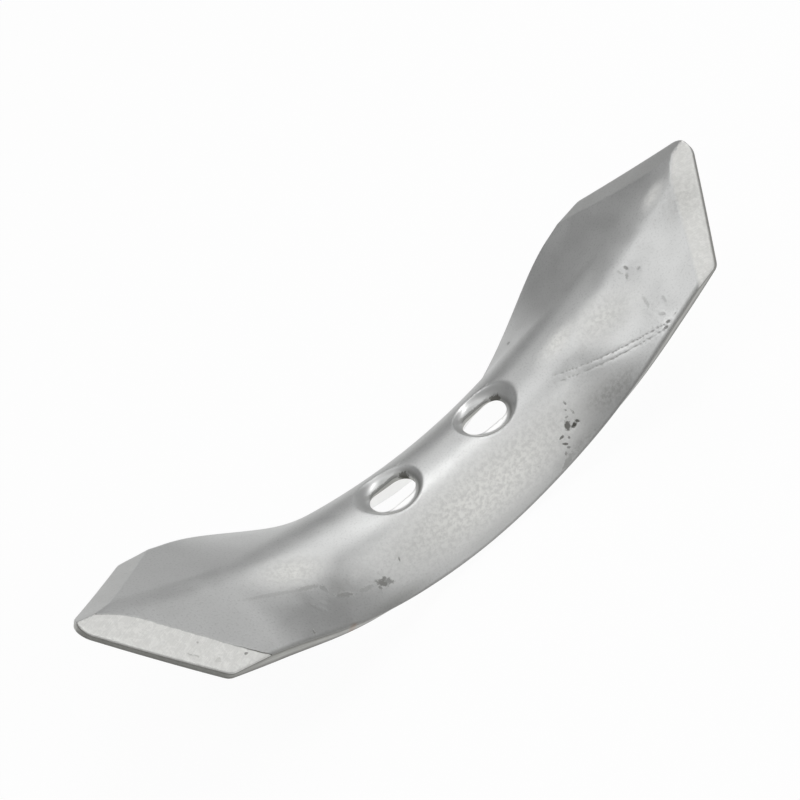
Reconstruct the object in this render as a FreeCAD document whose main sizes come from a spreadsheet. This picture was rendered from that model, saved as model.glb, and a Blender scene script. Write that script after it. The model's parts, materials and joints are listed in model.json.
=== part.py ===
import FreeCAD, Part
import Sketcher
import math
import os

# Reversible share: one forged plate, used as a point at one end and then turned round.
# X runs along the share, Y across it and Z up, with the convex working face upwards.
# The origin lies under the middle of the share, level with the lowest edge of its flanks.

NODE = "reversible_share"

# Driving dimensions: alias, value in millimetres or degrees, meaning
DIMENSIONS = [
    ("half_length", 147.0, "length along the crest from the middle to one nose"),
    ("thickness", 5.0, "plate thickness"),
    ("middle_bend_radius", 214.0, "lengthwise radius of the crest between the blades"),
    ("middle_bend_reach", 97.0, "crest length from the middle to the end of that radius"),
    ("blade_bend_radius", 440.0, "lengthwise radius of the crest along each blade"),
    ("middle_half_width", 26.5, "half the width of the working face at the middle"),
    ("blade_half_width", 35.5, "half the width of the working face at the blades"),
    ("middle_flank_angle", 66.0, "slope of the flanks at the middle"),
    ("blade_flank_angle", 13.0, "slope of the flanks at the blades"),
    ("middle_crest_radius", 22.5, "crest rounding across the middle"),
    ("nose_crest_radius", 30.0, "crest rounding across the noses"),
    ("flare_start", 8.5, "crest length from the middle to where the flanks open"),
    ("flare_end", 94.0, "crest length from the middle to where the blade section starts"),
    ("nose_half_angle", 42.0, "half the angle between the two cutting edges of a blade"),
    ("nose_radius", 7.0, "rounding of the nose between the cutting edges"),
    ("bevel_angle", 15.5, "slope of the ground bevel against the working face"),
    ("edge_land", 2.5, "height of the blunt edge under the bevel"),
    ("bolt_spacing", 45.0, "distance between the centres of the two bolt slots"),
    ("slot_width", 11.0, "width of a bolt slot"),
    ("slot_length", 18.5, "overall length of a bolt slot along the share"),
    ("seat_radius", 12.5, "radius of a bolt head seat at the crest"),
    ("seat_wall_angle", 38.0, "slope of the seat wall against the bolt axis"),
    ("seat_corner_setback", 1.8, "setback of the slope between the seat wall and its floor"),
    ("throat_height", 1.3, "plate under the seat floor at the crest"),
]

# Cross-sections along the crest on each side of the middle one
SECTIONS_PER_SIDE = 9

# Cells worked out for one place on the crest, where # stands for the place's own label
PLACE_CELLS = [
    ("inner_#", "min(place_#; Size.middle_bend_reach) / Size.middle_bend_radius * 180 / pi"),
    ("outer_#", "max(place_# - Size.middle_bend_reach; 0) / Size.blade_bend_radius * 180 / pi"),
    ("slope_#", "inner_# + outer_#"),
    (
        "along_#",
        "Size.middle_bend_radius * sin(inner_#)"
        " + Size.blade_bend_radius * (sin(slope_#) - sin(inner_#))",
    ),
    (
        "height_#",
        "crest_height + Size.middle_bend_radius * (1 - cos(inner_#))"
        " + Size.blade_bend_radius * (cos(inner_#) - cos(slope_#))",
    ),
    ("share_#", "min(max((place_# - Size.flare_start) / flare_length; 0); 1)"),
    ("flare_#", "share_# ^ 2 * (3 - 2 * share_#)"),
    (
        "flank_#",
        "Size.middle_flank_angle"
        " + (Size.blade_flank_angle - Size.middle_flank_angle) * flare_#",
    ),
    (
        "half_#",
        "Size.middle_half_width"
        " + (Size.blade_half_width - Size.middle_half_width) * flare_#",
    ),
    ("travel_#", "min(place_# / Size.half_length; 1)"),
    (
        "radius_#",
        "max(Size.middle_crest_radius + (Size.nose_crest_radius - Size.middle_crest_radius)"
        " * travel_# ^ 2 * (3 - 2 * travel_#); Size.thickness + 1)",
    ),
]

# Cells worked out once, from the driving dimensions alone
SHARED_CELLS = [
    ("flare_length", "Size.flare_end - Size.flare_start"),
    (
        "middle_flank_length",
        "(Size.middle_half_width - Size.middle_crest_radius * sin(Size.middle_flank_angle))"
        " / cos(Size.middle_flank_angle)",
    ),
    (
        "crest_height",
        "Size.middle_crest_radius * (1 - cos(Size.middle_flank_angle))"
        " + middle_flank_length * sin(Size.middle_flank_angle)"
        " + Size.thickness * cos(Size.middle_flank_angle)",
    ),
    ("blank_length", "Size.half_length + 2 * Size.thickness"),
    ("section_pitch", "blank_length / %d" % SECTIONS_PER_SIDE),
]

# Cells for the blade's cuts, measured in the plane that touches the crest halfway along them
CUT_CELLS = [
    (
        "nose_reach",
        "Size.blade_bend_radius * sin((Size.half_length - place_cut)"
        " / Size.blade_bend_radius * 180 / pi)",
    ),
    ("apex_reach", "nose_reach + Size.nose_radius * (1 / sin(Size.nose_half_angle) - 1)"),
    ("flank_lift", "radius_cut * (1 / cos(Size.blade_flank_angle) - 1)"),
    ("edge_angle", "atan(tan(Size.nose_half_angle) / cos(Size.blade_flank_angle))"),
    ("edge_offset", "Size.blade_half_width / 2"),
    ("edge_reach", "apex_reach - edge_offset / tan(edge_angle)"),
    ("edge_bend_radius", "Size.blade_bend_radius / cos(edge_angle) ^ 2"),
    ("bevel_depth", "Size.thickness - Size.edge_land"),
    ("bevel_width", "bevel_depth / tan(Size.bevel_angle)"),
]

# Cells for the bolt slots and the seats of the bolt heads
BOLT_CELLS = [
    ("bolt_along", "Size.bolt_spacing / 2"),
    (
        "bolt_height",
        "crest_height + Size.middle_bend_radius"
        " - sqrt(Size.middle_bend_radius ^ 2 - bolt_along ^ 2)",
    ),
    ("seat_depth", "Size.thickness - Size.throat_height"),
    ("floor_radius", "Size.seat_radius - seat_depth * tan(Size.seat_wall_angle)"),
    ("mouth_radius", "Size.seat_radius + Size.thickness * tan(Size.seat_wall_angle)"),
]


def make_sizes(doc):
    """The sheet of driving dimensions, one row each."""
    sheet = doc.addObject("Spreadsheet::Sheet", "Size")
    for row, (alias, value, meaning) in enumerate(DIMENSIONS, start=1):
        sheet.set("A%d" % row, alias)
        sheet.set("B%d" % row, str(value))
        sheet.setAlias("B%d" % row, alias)
        sheet.set("C%d" % row, meaning)
    return sheet


def make_stations(doc):
    """The sheet of worked-out values for the sections, the blade cuts and the bolts."""
    cells = list(SHARED_CELLS)
    places = [(str(i), "section_pitch * %d" % i) for i in range(SECTIONS_PER_SIDE + 1)]
    cut_place = "Size.half_length - Size.blade_half_width / tan(Size.nose_half_angle) / 2"
    places.append(("cut", cut_place))
    for label, place in places:
        cells.append(("place_" + label, place))
        for alias, formula in PLACE_CELLS:
            cells.append((alias.replace("#", label), formula.replace("#", label)))
    cells += CUT_CELLS + BOLT_CELLS
    sheet = doc.addObject("Spreadsheet::Sheet", "Station")
    for row, (alias, formula) in enumerate(cells, start=1):
        sheet.set("A%d" % row, alias)
        sheet.setAlias("B%d" % row, alias)
        sheet.set("B%d" % row, "=" + formula)
    return sheet


def origin_plane(body, role):
    """One of the body's own origin planes."""
    return next(f for f in body.Origin.OriginFeatures if f.Role == role)


def new_sketch(body, name, role, offset):
    """A sketch on an origin plane, moved and turned by a bound placement."""
    sketch = body.newObject("Sketcher::SketchObject", name)
    sketch.AttachmentSupport = (origin_plane(body, role), [""])
    sketch.MapMode = "FlatFace"
    sketch.setExpression("AttachmentOffset", offset)
    return sketch


def point(x, y):
    return FreeCAD.Vector(x, y, 0)


def add_line(sketch, start, end):
    return sketch.addGeometry(Part.LineSegment(point(*start), point(*end)), False)


def add_arc(sketch, centre, radius, start_angle, end_angle):
    circle = Part.Circle(point(*centre), FreeCAD.Vector(0, 0, 1), radius)
    return sketch.addGeometry(Part.ArcOfCircle(circle, start_angle, end_angle), False)


def bind(sketch, constraint, name, formula):
    """Add a named constraint and tie its value to the sheets."""
    index = sketch.addConstraint(constraint)
    sketch.renameConstraint(index, name)
    sketch.setExpression("Constraints." + name, formula)


def section_sketch(body, name, label, side, size, station):
    """One cross-section: a rounded crest and two straight flanks, square to the crest line."""
    offset = (
        "placement(vector(0; Station.height_{0}; {1} * Station.along_{0});"
        " rotation(vector(1; 0; 0); {2} * Station.slope_{0}))"
    ).format(label, side, -side)
    sketch = new_sketch(body, name, "YZ_Plane", offset)
    radius = getattr(station, "radius_" + label)
    half = getattr(station, "half_" + label)
    flank = math.radians(getattr(station, "flank_" + label))
    thick = size.thickness
    front_arc = (radius * math.sin(flank), radius * math.cos(flank) - radius)
    front_edge = (half, front_arc[1] - (half - front_arc[0]) * math.tan(flank))
    back_edge = (front_edge[0] - thick * math.sin(flank), front_edge[1] - thick * math.cos(flank))
    back_radius = radius - thick
    back_arc = (back_radius * math.sin(flank), back_radius * math.cos(flank) - radius)

    def left(at):
        return (-at[0], at[1])

    start_angle = math.pi / 2 - flank
    end_angle = math.pi / 2 + flank
    crest = add_arc(sketch, (0, -radius), radius, start_angle, end_angle)
    right_front = add_line(sketch, front_arc, front_edge)
    right_end = add_line(sketch, front_edge, back_edge)
    right_back = add_line(sketch, back_edge, back_arc)
    hollow = add_arc(sketch, (0, -radius), back_radius, start_angle, end_angle)
    left_back = add_line(sketch, left(back_arc), left(back_edge))
    left_end = add_line(sketch, left(back_edge), left(front_edge))
    left_front = add_line(sketch, left(front_edge), left(front_arc))

    sketch.addConstraint([
        Sketcher.Constraint("Tangent", crest, 1, right_front, 1),
        Sketcher.Constraint("Coincident", right_front, 2, right_end, 1),
        Sketcher.Constraint("Coincident", right_end, 2, right_back, 1),
        Sketcher.Constraint("Tangent", right_back, 2, hollow, 1),
        Sketcher.Constraint("Tangent", hollow, 2, left_back, 1),
        Sketcher.Constraint("Coincident", left_back, 2, left_end, 1),
        Sketcher.Constraint("Coincident", left_end, 2, left_front, 1),
        Sketcher.Constraint("Tangent", left_front, 2, crest, 2),
        Sketcher.Constraint("PointOnObject", crest, 3, -2),
        Sketcher.Constraint("PointOnObject", -1, 1, crest),
        Sketcher.Constraint("Coincident", hollow, 3, crest, 3),
        Sketcher.Constraint("Symmetric", right_front, 2, left_front, 1, -2),
        Sketcher.Constraint("Perpendicular", right_front, right_end),
        Sketcher.Constraint("Perpendicular", left_front, left_end),
        Sketcher.Constraint("Parallel", right_front, right_back),
        Sketcher.Constraint("Equal", right_end, left_end),
    ])
    bind(sketch, Sketcher.Constraint("Radius", crest, radius), "crest_radius",
         "Station.radius_" + label)
    bind(sketch, Sketcher.Constraint("Distance", right_end, thick), "plate", "Size.thickness")
    bind(sketch, Sketcher.Constraint("DistanceX", -1, 1, right_front, 2, half), "half_width",
         "Station.half_" + label)
    bind(sketch, Sketcher.Constraint("Angle", right_front, -flank), "flank",
         "-Station.flank_" + label)
    return sketch


def loft_plate(doc, body, size, station):
    """The bent and flared plate, drawn through cross-sections from one end to the other."""
    sketches = []
    for index in range(-SECTIONS_PER_SIDE, SECTIONS_PER_SIDE + 1):
        side = -1 if index < 0 else 1
        name = "Section%02d" % (index + SECTIONS_PER_SIDE)
        sketches.append(section_sketch(body, name, str(abs(index)), side, size, station))
    doc.recompute()
    loft = body.newObject("PartDesign::AdditiveLoft", "Plate")
    loft.Profile = sketches[0]
    loft.Sections = sketches[1:]
    loft.Ruled = False
    doc.recompute()
    return loft


# Plane that touches the crest halfway along the cutting edges of the right blade
CUT_PLANE = (
    "placement(vector(Station.along_cut; 0; Station.height_cut);"
    " rotation(vector(0; 1; 0); -Station.slope_cut))"
)

# From there to a plane square to the right blade's left cutting edge, standing on its flank
EDGE_PLANE = (
    CUT_PLANE
    + " * placement(vector(0; 0; Station.flank_lift);"
    " rotation(vector(1; 0; 0); -Size.blade_flank_angle))"
    " * placement(vector(Station.edge_reach; Station.edge_offset; 0);"
    " rotation(vector(0; 0; 1); 90 deg - Station.edge_angle) * rotation(vector(1; 0; 0); 90))"
)


def nose_pocket(body, size, station):
    """Cut the right blade to its two straight cutting edges and rounded nose."""
    sketch = new_sketch(body, "NoseOutline", "XY_Plane", CUT_PLANE)
    angle = math.radians(size.nose_half_angle)
    radius = size.nose_radius
    centre = station.nose_reach - radius
    touch = (centre + radius * math.sin(angle), radius * math.cos(angle))
    beyond = station.nose_reach + 4 * size.thickness
    wide = size.blade_half_width + 3 * size.thickness
    back = station.apex_reach - wide / math.tan(angle)

    nose = add_arc(sketch, (centre, 0), radius, angle - math.pi / 2, math.pi / 2 - angle)
    left_edge = add_line(sketch, touch, (back, wide))
    left_side = add_line(sketch, (back, wide), (beyond, wide))
    front = add_line(sketch, (beyond, wide), (beyond, -wide))
    right_side = add_line(sketch, (beyond, -wide), (back, -wide))
    right_edge = add_line(sketch, (back, -wide), (touch[0], -touch[1]))
    sketch.addConstraint([
        Sketcher.Constraint("Tangent", nose, 2, left_edge, 1),
        Sketcher.Constraint("Coincident", left_edge, 2, left_side, 1),
        Sketcher.Constraint("Coincident", left_side, 2, front, 1),
        Sketcher.Constraint("Coincident", front, 2, right_side, 1),
        Sketcher.Constraint("Coincident", right_side, 2, right_edge, 1),
        Sketcher.Constraint("Tangent", right_edge, 2, nose, 1),
        Sketcher.Constraint("PointOnObject", nose, 3, -1),
        Sketcher.Constraint("Symmetric", left_edge, 2, right_edge, 1, -1),
        Sketcher.Constraint("Horizontal", left_side),
        Sketcher.Constraint("Horizontal", right_side),
        Sketcher.Constraint("Vertical", front),
    ])
    bind(sketch, Sketcher.Constraint("Radius", nose, radius), "nose_radius", "Size.nose_radius")
    bind(sketch, Sketcher.Constraint("DistanceX", -1, 1, nose, 3, centre), "nose_centre",
         "Station.nose_reach - Size.nose_radius")
    bind(sketch, Sketcher.Constraint("Angle", left_edge, math.pi - angle), "edge_direction",
         "180 - Size.nose_half_angle")
    bind(sketch, Sketcher.Constraint("DistanceY", -1, 1, left_edge, 2, wide), "waste_width",
         "Size.blade_half_width + 3 * Size.thickness")
    bind(sketch, Sketcher.Constraint("DistanceX", -1, 1, front, 1, beyond), "waste_reach",
         "Station.nose_reach + 4 * Size.thickness")
    pocket = body.newObject("PartDesign::Pocket", "NoseCut")
    pocket.Profile = sketch
    pocket.SideType = "Symmetric"
    pocket.setExpression("Length", "2 * Size.blade_half_width")
    return pocket


def bevel_groove(body, size, station):
    """Grind the right blade's left cutting edge from the working face down to its land.

    The groove turns about an axis far above the blade, so the bevel follows its bend.
    """
    sketch = new_sketch(body, "BevelOutline", "XY_Plane", EDGE_PLANE)
    slope = math.radians(size.bevel_angle)
    out = size.thickness
    top = size.thickness
    low = -station.bevel_depth - out * math.tan(slope)
    inner = -station.bevel_width - top / math.tan(slope)
    bevel = add_line(sketch, (inner, top), (out, low))
    outside = add_line(sketch, (out, low), (out, top))
    above = add_line(sketch, (out, top), (inner, top))
    mark = sketch.addGeometry(Part.Point(point(0, -station.bevel_depth)), True)
    bend = station.edge_bend_radius
    axis = sketch.addGeometry(Part.LineSegment(point(0, bend), point(out, bend)), True)
    sketch.addConstraint([
        Sketcher.Constraint("Coincident", bevel, 2, outside, 1),
        Sketcher.Constraint("Coincident", outside, 2, above, 1),
        Sketcher.Constraint("Coincident", above, 2, bevel, 1),
        Sketcher.Constraint("Vertical", outside),
        Sketcher.Constraint("Horizontal", above),
        Sketcher.Constraint("PointOnObject", mark, 1, -2),
        Sketcher.Constraint("PointOnObject", mark, 1, bevel),
        Sketcher.Constraint("PointOnObject", axis, 1, -2),
        Sketcher.Constraint("Horizontal", axis),
    ])
    bind(sketch, Sketcher.Constraint("DistanceY", mark, 1, -1, 1, station.bevel_depth),
         "bevel_depth", "Station.bevel_depth")
    bind(sketch, Sketcher.Constraint("Angle", bevel, -slope), "bevel_angle", "-Size.bevel_angle")
    bind(sketch, Sketcher.Constraint("DistanceX", -1, 1, outside, 2, out), "outside",
         "Size.thickness")
    bind(sketch, Sketcher.Constraint("DistanceY", -1, 1, outside, 2, top), "above",
         "Size.thickness")
    bind(sketch, Sketcher.Constraint("DistanceY", -1, 1, axis, 1, bend), "bend_radius",
         "Station.edge_bend_radius")
    bind(sketch, Sketcher.Constraint("DistanceX", axis, 1, axis, 2, out), "axis_length",
         "Size.thickness")
    groove = body.newObject("PartDesign::Groove", "Bevel")
    groove.Profile = sketch
    groove.ReferenceAxis = (sketch, ["Axis0"])
    groove.Midplane = True
    groove.setExpression("Angle", "4 * Size.blade_half_width / Station.edge_bend_radius * 180 / pi")
    return groove


def seat_groove(body, size, station):
    """Turn the dished seat of the right bolt's head into the crest."""
    offset = "placement(vector(Station.bolt_along; Station.bolt_height; 0); rotation(0; 0; 0))"
    sketch = new_sketch(body, "SeatOutline", "XZ_Plane", offset)
    wall = math.radians(size.seat_wall_angle)
    floor = -station.seat_depth
    setback = size.seat_corner_setback
    top = size.thickness
    floor_end = (station.floor_radius - setback, floor)
    wall_start = (
        station.floor_radius + setback * math.sin(wall),
        floor + setback * math.cos(wall),
    )
    rim = (station.mouth_radius, top)
    bottom = add_line(sketch, (0, floor), floor_end)
    corner = add_line(sketch, floor_end, wall_start)
    side = add_line(sketch, wall_start, rim)
    lid = add_line(sketch, rim, (0, top))
    axis = add_line(sketch, (0, top), (0, floor))
    sketch.addConstraint([
        Sketcher.Constraint("Coincident", bottom, 2, corner, 1),
        Sketcher.Constraint("Coincident", corner, 2, side, 1),
        Sketcher.Constraint("Coincident", side, 2, lid, 1),
        Sketcher.Constraint("Coincident", lid, 2, axis, 1),
        Sketcher.Constraint("Coincident", axis, 2, bottom, 1),
        Sketcher.Constraint("Horizontal", bottom),
        Sketcher.Constraint("Horizontal", lid),
        Sketcher.Constraint("PointOnObject", axis, 1, -2),
        Sketcher.Constraint("PointOnObject", axis, 2, -2),
    ])
    bind(sketch, Sketcher.Constraint("DistanceX", bottom, 1, bottom, 2, floor_end[0]),
         "floor_radius", "Station.floor_radius - Size.seat_corner_setback")
    bind(sketch, Sketcher.Constraint("DistanceX", bottom, 1, corner, 2, wall_start[0]),
         "wall_radius",
         "Station.floor_radius + Size.seat_corner_setback * sin(Size.seat_wall_angle)")
    bind(sketch, Sketcher.Constraint("DistanceY", bottom, 1, -1, 1, -floor), "seat_depth",
         "Station.seat_depth")
    bind(sketch, Sketcher.Constraint("DistanceY", -1, 1, lid, 2, top), "above", "Size.thickness")
    bind(sketch, Sketcher.Constraint("DistanceX", lid, 2, lid, 1, rim[0]), "mouth",
         "Station.mouth_radius")
    bind(sketch, Sketcher.Constraint("Angle", side, math.pi / 2 - wall), "wall_angle",
         "90 - Size.seat_wall_angle")
    groove = body.newObject("PartDesign::Groove", "Seat")
    groove.Profile = sketch
    groove.ReferenceAxis = (sketch, ["V_Axis"])
    groove.Angle = 360.0
    return groove


def slot_pocket(body, size, station):
    """Punch the right bolt slot through the plate under its seat."""
    offset = "placement(vector(Station.bolt_along; 0; 0); rotation(0; 0; 0))"
    sketch = new_sketch(body, "SlotOutline", "XY_Plane", offset)
    radius = size.slot_width / 2
    reach = size.slot_length / 2 - radius
    right = add_arc(sketch, (reach, 0), radius, -math.pi / 2, math.pi / 2)
    far = add_line(sketch, (reach, radius), (-reach, radius))
    left = add_arc(sketch, (-reach, 0), radius, math.pi / 2, 3 * math.pi / 2)
    near = add_line(sketch, (-reach, -radius), (reach, -radius))
    sketch.addConstraint([
        Sketcher.Constraint("Tangent", right, 2, far, 1),
        Sketcher.Constraint("Tangent", far, 2, left, 1),
        Sketcher.Constraint("Tangent", left, 2, near, 1),
        Sketcher.Constraint("Tangent", near, 2, right, 1),
        Sketcher.Constraint("Equal", right, left),
        Sketcher.Constraint("Symmetric", right, 3, left, 3, -1, 1),
        Sketcher.Constraint("PointOnObject", right, 3, -1),
    ])
    bind(sketch, Sketcher.Constraint("Radius", right, radius), "end_radius",
         "Size.slot_width / 2")
    bind(sketch, Sketcher.Constraint("DistanceX", left, 3, right, 3, 2 * reach), "centres",
         "Size.slot_length - Size.slot_width")
    pocket = body.newObject("PartDesign::Pocket", "Slot")
    pocket.Profile = sketch
    pocket.SideType = "Symmetric"
    pocket.setExpression("Length", "4 * Station.bolt_height")
    return pocket


def mirror(body, name, feature, role):
    """Repeat a feature on the other side of one of the body's origin planes."""
    mirrored = body.newObject("PartDesign::Mirrored", name)
    mirrored.Originals = [feature]
    mirrored.MirrorPlane = (origin_plane(body, role), [""])
    body.Tip = mirrored
    return mirrored


def mirror_twice(doc, body, name, feature):
    """Repeat a feature across the share and then at its other end."""
    steps = []
    for step, role in (("Across", "XZ_Plane"), ("Along", "YZ_Plane")):
        mirrored = doc.addObject("PartDesign::Mirrored", name + step)
        mirrored.MirrorPlane = (origin_plane(body, role), [""])
        steps.append(mirrored)
    pattern = body.newObject("PartDesign::MultiTransform", name)
    pattern.Originals = [feature]
    for mirrored in steps:
        body.addObject(mirrored)
    pattern.Transformations = steps
    body.Tip = pattern
    return pattern


def check(doc, body):
    """Stop if any object failed or the share is not one sound solid."""
    for obj in doc.Objects:
        if "Invalid" in obj.State or "Error" in obj.State:
            raise RuntimeError("%s failed: %s" % (obj.Name, obj.State))
    shape = body.Shape
    if shape.isNull() or not shape.isValid() or len(shape.Solids) != 1:
        raise RuntimeError("the share is not one valid solid")


def cut(doc, body, make, *values):
    """Make a cutting feature and see that it took something away."""
    before = body.Shape.Volume
    feature = make(*values)
    doc.recompute()
    if body.Shape.Volume > before - 1.0:
        raise RuntimeError("%s cut nothing" % feature.Name)
    return feature


def main():
    doc = FreeCAD.newDocument("ReversibleShare")
    size = make_sizes(doc)
    doc.recompute()
    station = make_stations(doc)
    doc.recompute()
    body = doc.addObject("PartDesign::Body", "Share")
    body.Label = NODE
    doc.recompute()
    loft_plate(doc, body, size, station)
    nose = cut(doc, body, nose_pocket, body, size, station)
    cut(doc, body, mirror, body, "OtherNose", nose, "YZ_Plane")
    bevel = cut(doc, body, bevel_groove, body, size, station)
    cut(doc, body, mirror_twice, doc, body, "OtherBevels", bevel)
    seat = cut(doc, body, seat_groove, body, size, station)
    cut(doc, body, mirror, body, "OtherSeat", seat, "YZ_Plane")
    slot = cut(doc, body, slot_pocket, body, size, station)
    cut(doc, body, mirror, body, "OtherSlot", slot, "YZ_Plane")
    body.Placement = FreeCAD.Placement()
    doc.recompute()
    check(doc, body)
    os.makedirs("parts", exist_ok=True)
    body.Shape.exportStep(os.path.join("parts", NODE + ".step"))


main()
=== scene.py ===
"""A bare forged reversible share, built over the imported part, in a plain studio."""

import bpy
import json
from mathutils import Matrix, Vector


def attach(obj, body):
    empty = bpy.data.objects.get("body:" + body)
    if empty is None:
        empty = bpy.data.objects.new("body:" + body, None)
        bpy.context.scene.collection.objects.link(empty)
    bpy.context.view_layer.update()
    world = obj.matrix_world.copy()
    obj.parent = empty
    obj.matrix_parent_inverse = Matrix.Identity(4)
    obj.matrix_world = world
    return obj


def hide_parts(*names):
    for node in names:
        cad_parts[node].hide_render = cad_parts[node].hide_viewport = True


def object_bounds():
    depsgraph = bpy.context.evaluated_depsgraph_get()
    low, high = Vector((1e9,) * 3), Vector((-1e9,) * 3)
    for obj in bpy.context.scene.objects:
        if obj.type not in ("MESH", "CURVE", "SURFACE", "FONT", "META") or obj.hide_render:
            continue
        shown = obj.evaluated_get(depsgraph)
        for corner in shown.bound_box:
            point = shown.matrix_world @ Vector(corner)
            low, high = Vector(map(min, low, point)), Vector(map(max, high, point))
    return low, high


bl_info = {
    "name": "Reversible share",
    "version": (1, 0, 0),
    "blender": (4, 5, 0),
    "location": "View3D > Sidebar > Share",
    "description": "Builds a bare steel reversible share and the studio around it",
    "category": "Add Mesh",
}

import json
import math
from functools import reduce
from types import SimpleNamespace

import bpy
import numpy as np
from bpy.props import FloatProperty, FloatVectorProperty, PointerProperty
from mathutils import Euler, Vector
from mathutils.geometry import delaunay_2d_cdt
from mathutils.kdtree import KDTree

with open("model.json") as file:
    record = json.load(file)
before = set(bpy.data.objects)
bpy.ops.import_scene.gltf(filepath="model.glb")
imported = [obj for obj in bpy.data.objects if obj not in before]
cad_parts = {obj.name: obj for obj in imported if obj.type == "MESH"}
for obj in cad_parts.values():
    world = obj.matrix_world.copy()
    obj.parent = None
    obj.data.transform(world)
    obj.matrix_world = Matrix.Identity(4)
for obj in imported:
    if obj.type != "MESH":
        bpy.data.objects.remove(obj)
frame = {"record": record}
CAD_LOW, CAD_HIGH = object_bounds()

NODE = "reversible_share"
BODY = "root"
MM = 0.001

BOLTS = next(m["dims"] for m in frame["record"]["mounts"] if m["name"] == "tine_bolts")


def length(name, description, default):
    """A size in metres, shown in the scene's units."""
    return FloatProperty(name=name, description=description, default=default, unit="LENGTH", precision=4)


def angle(name, description, degrees):
    """An angle, shown in degrees."""
    default = math.radians(degrees)
    return FloatProperty(name=name, description=description, default=default, subtype="ANGLE")


def share_of_one(name, description, default):
    """A share from 0 to 1."""
    return FloatProperty(name=name, description=description, default=default, min=0.0, max=1.0,
                         subtype="FACTOR")


def colour(name, description, default):
    """A linear colour."""
    return FloatVectorProperty(name=name, description=description, default=default, size=3,
                               min=0.0, max=1.0, subtype="COLOR")


class ShareShape(bpy.types.PropertyGroup):
    """Sizes of the plate and spacings of its mesh"""

    half_length: length("Half length", "Crest length from the middle to one nose", 0.147)
    thickness: length("Thickness", "Plate thickness", 0.005)
    middle_bend_radius: length("Middle bend", "Lengthwise radius between the blades", 0.214)
    middle_bend_reach: length("Middle reach", "Crest length to the end of that radius", 0.097)
    blade_bend_radius: length("Blade bend", "Lengthwise radius along each blade", 0.440)
    middle_half_width: length("Middle half width", "Half the width at the middle", 0.0265)
    blade_half_width: length("Blade half width", "Half the width at the blades", 0.0355)
    middle_flank_angle: angle("Middle flanks", "Slope of the flanks at the middle", 66.0)
    blade_flank_angle: angle("Blade flanks", "Slope of the flanks at the blades", 13.0)
    middle_crest_radius: length("Middle crest", "Crest rounding at the middle", 0.0225)
    nose_crest_radius: length("Nose crest", "Crest rounding at the noses", 0.030)
    flare_start: length("Flare start", "Crest length to where the flanks open", 0.0085)
    flare_end: length("Flare end", "Crest length to where the blade section starts", 0.094)
    nose_half_angle: angle("Nose half angle", "Half the angle between the cutting edges", 42.0)
    nose_radius: length("Nose radius", "Rounding between the cutting edges", 0.007)
    corner_radius: length("Corner radius", "Rounding where a cutting edge meets a side", 0.0016)
    bevel_angle: angle("Bevel angle", "Slope of the ground bevel", 15.5)
    edge_land: length("Edge land", "Height of the blunt edge under the bevel", 0.0025)
    bevel_wander: length("Bevel wander", "Ripple of the bevel's inner line", 0.00012)
    bolt_spacing: length("Bolt spacing", "Distance between the bolt slots",
                         BOLTS["spacing_x_mm"] * MM)
    slot_width: length("Slot width", "Width of a bolt slot", 2 * BOLTS["hole_r_mm"] * MM)
    slot_length: length("Slot length", "Overall length of a bolt slot",
                        BOLTS["slot_length_mm"] * MM)
    seat_radius: length("Seat radius", "Radius of a bolt head seat at the crest", 0.0125)
    seat_wall_angle: angle("Seat wall", "Slope of the seat wall against the bolt axis", 38.0)
    throat_height: length("Throat height", "Plate under the seat floor", 0.0013)
    seat_rounding: length("Seat rounding", "Blend between the seat wall and its floor", 0.0022)
    rim_rounding: length("Rim rounding", "Blend between the crest and the seat wall", 0.0011)
    edge_rounding: length("Edge rounding", "Rounding of the outer edges", 0.00035)
    slot_rounding: length("Slot rounding", "Rounding of the slot edges", 0.00035)
    mesh_step: length("Mesh step", "Distance between points on the working face", 0.0008)
    back_step: length("Back mesh step", "Distance between points on the back", 0.0015)


class ShareFinish(bpy.types.PropertyGroup):
    """Colours and roughness of the steel"""

    steel: colour("Steel", "Bare steel of the plate", (0.60, 0.605, 0.60))
    # This colour is painted highlight: paler steel laid where the near flank and the crests catch the
    # light.
    pale_highlight: colour("Pale steel", "Paler, rougher steel of the near flank", (0.93, 0.93, 0.91))
    # This colour is painted glint and highlight in the seats, on the rims and along the scores, and it
    # also paints the back's middle bright.
    glint_and_polish: colour("Polished steel", "Steel that bolt heads rubbed bright", (0.95, 0.95, 0.94))
    ground: colour("Ground steel", "Freshly ground steel of the bevels", (0.74, 0.74, 0.72))
    sheared: colour("Sheared edge", "Dark steel of the sheared sides and lands", (0.46, 0.46, 0.44))
    # This colour is both real scale in the marks and painted shade in the seats, along the near edges
    # and in shaded patches.
    grime_and_shade: colour("Grime", "Dark scale and grime in marks and corners", (0.07, 0.068, 0.055))
    rust: colour("Rust", "Faint rust", (0.30, 0.17, 0.09))
    steel_roughness: share_of_one("Steel roughness", "Roughness of the plate", 0.42)
    seat_roughness: share_of_one("Seat roughness", "Roughness of the bolt head seats", 0.3)
    pale_roughness: share_of_one("Pale roughness", "Roughness of the near flank", 0.75)
    ground_roughness: share_of_one("Ground roughness", "Roughness of the bevels", 0.55)
    grain_height: length("Grain height", "Height of the forged grain", 0.00006)


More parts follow.
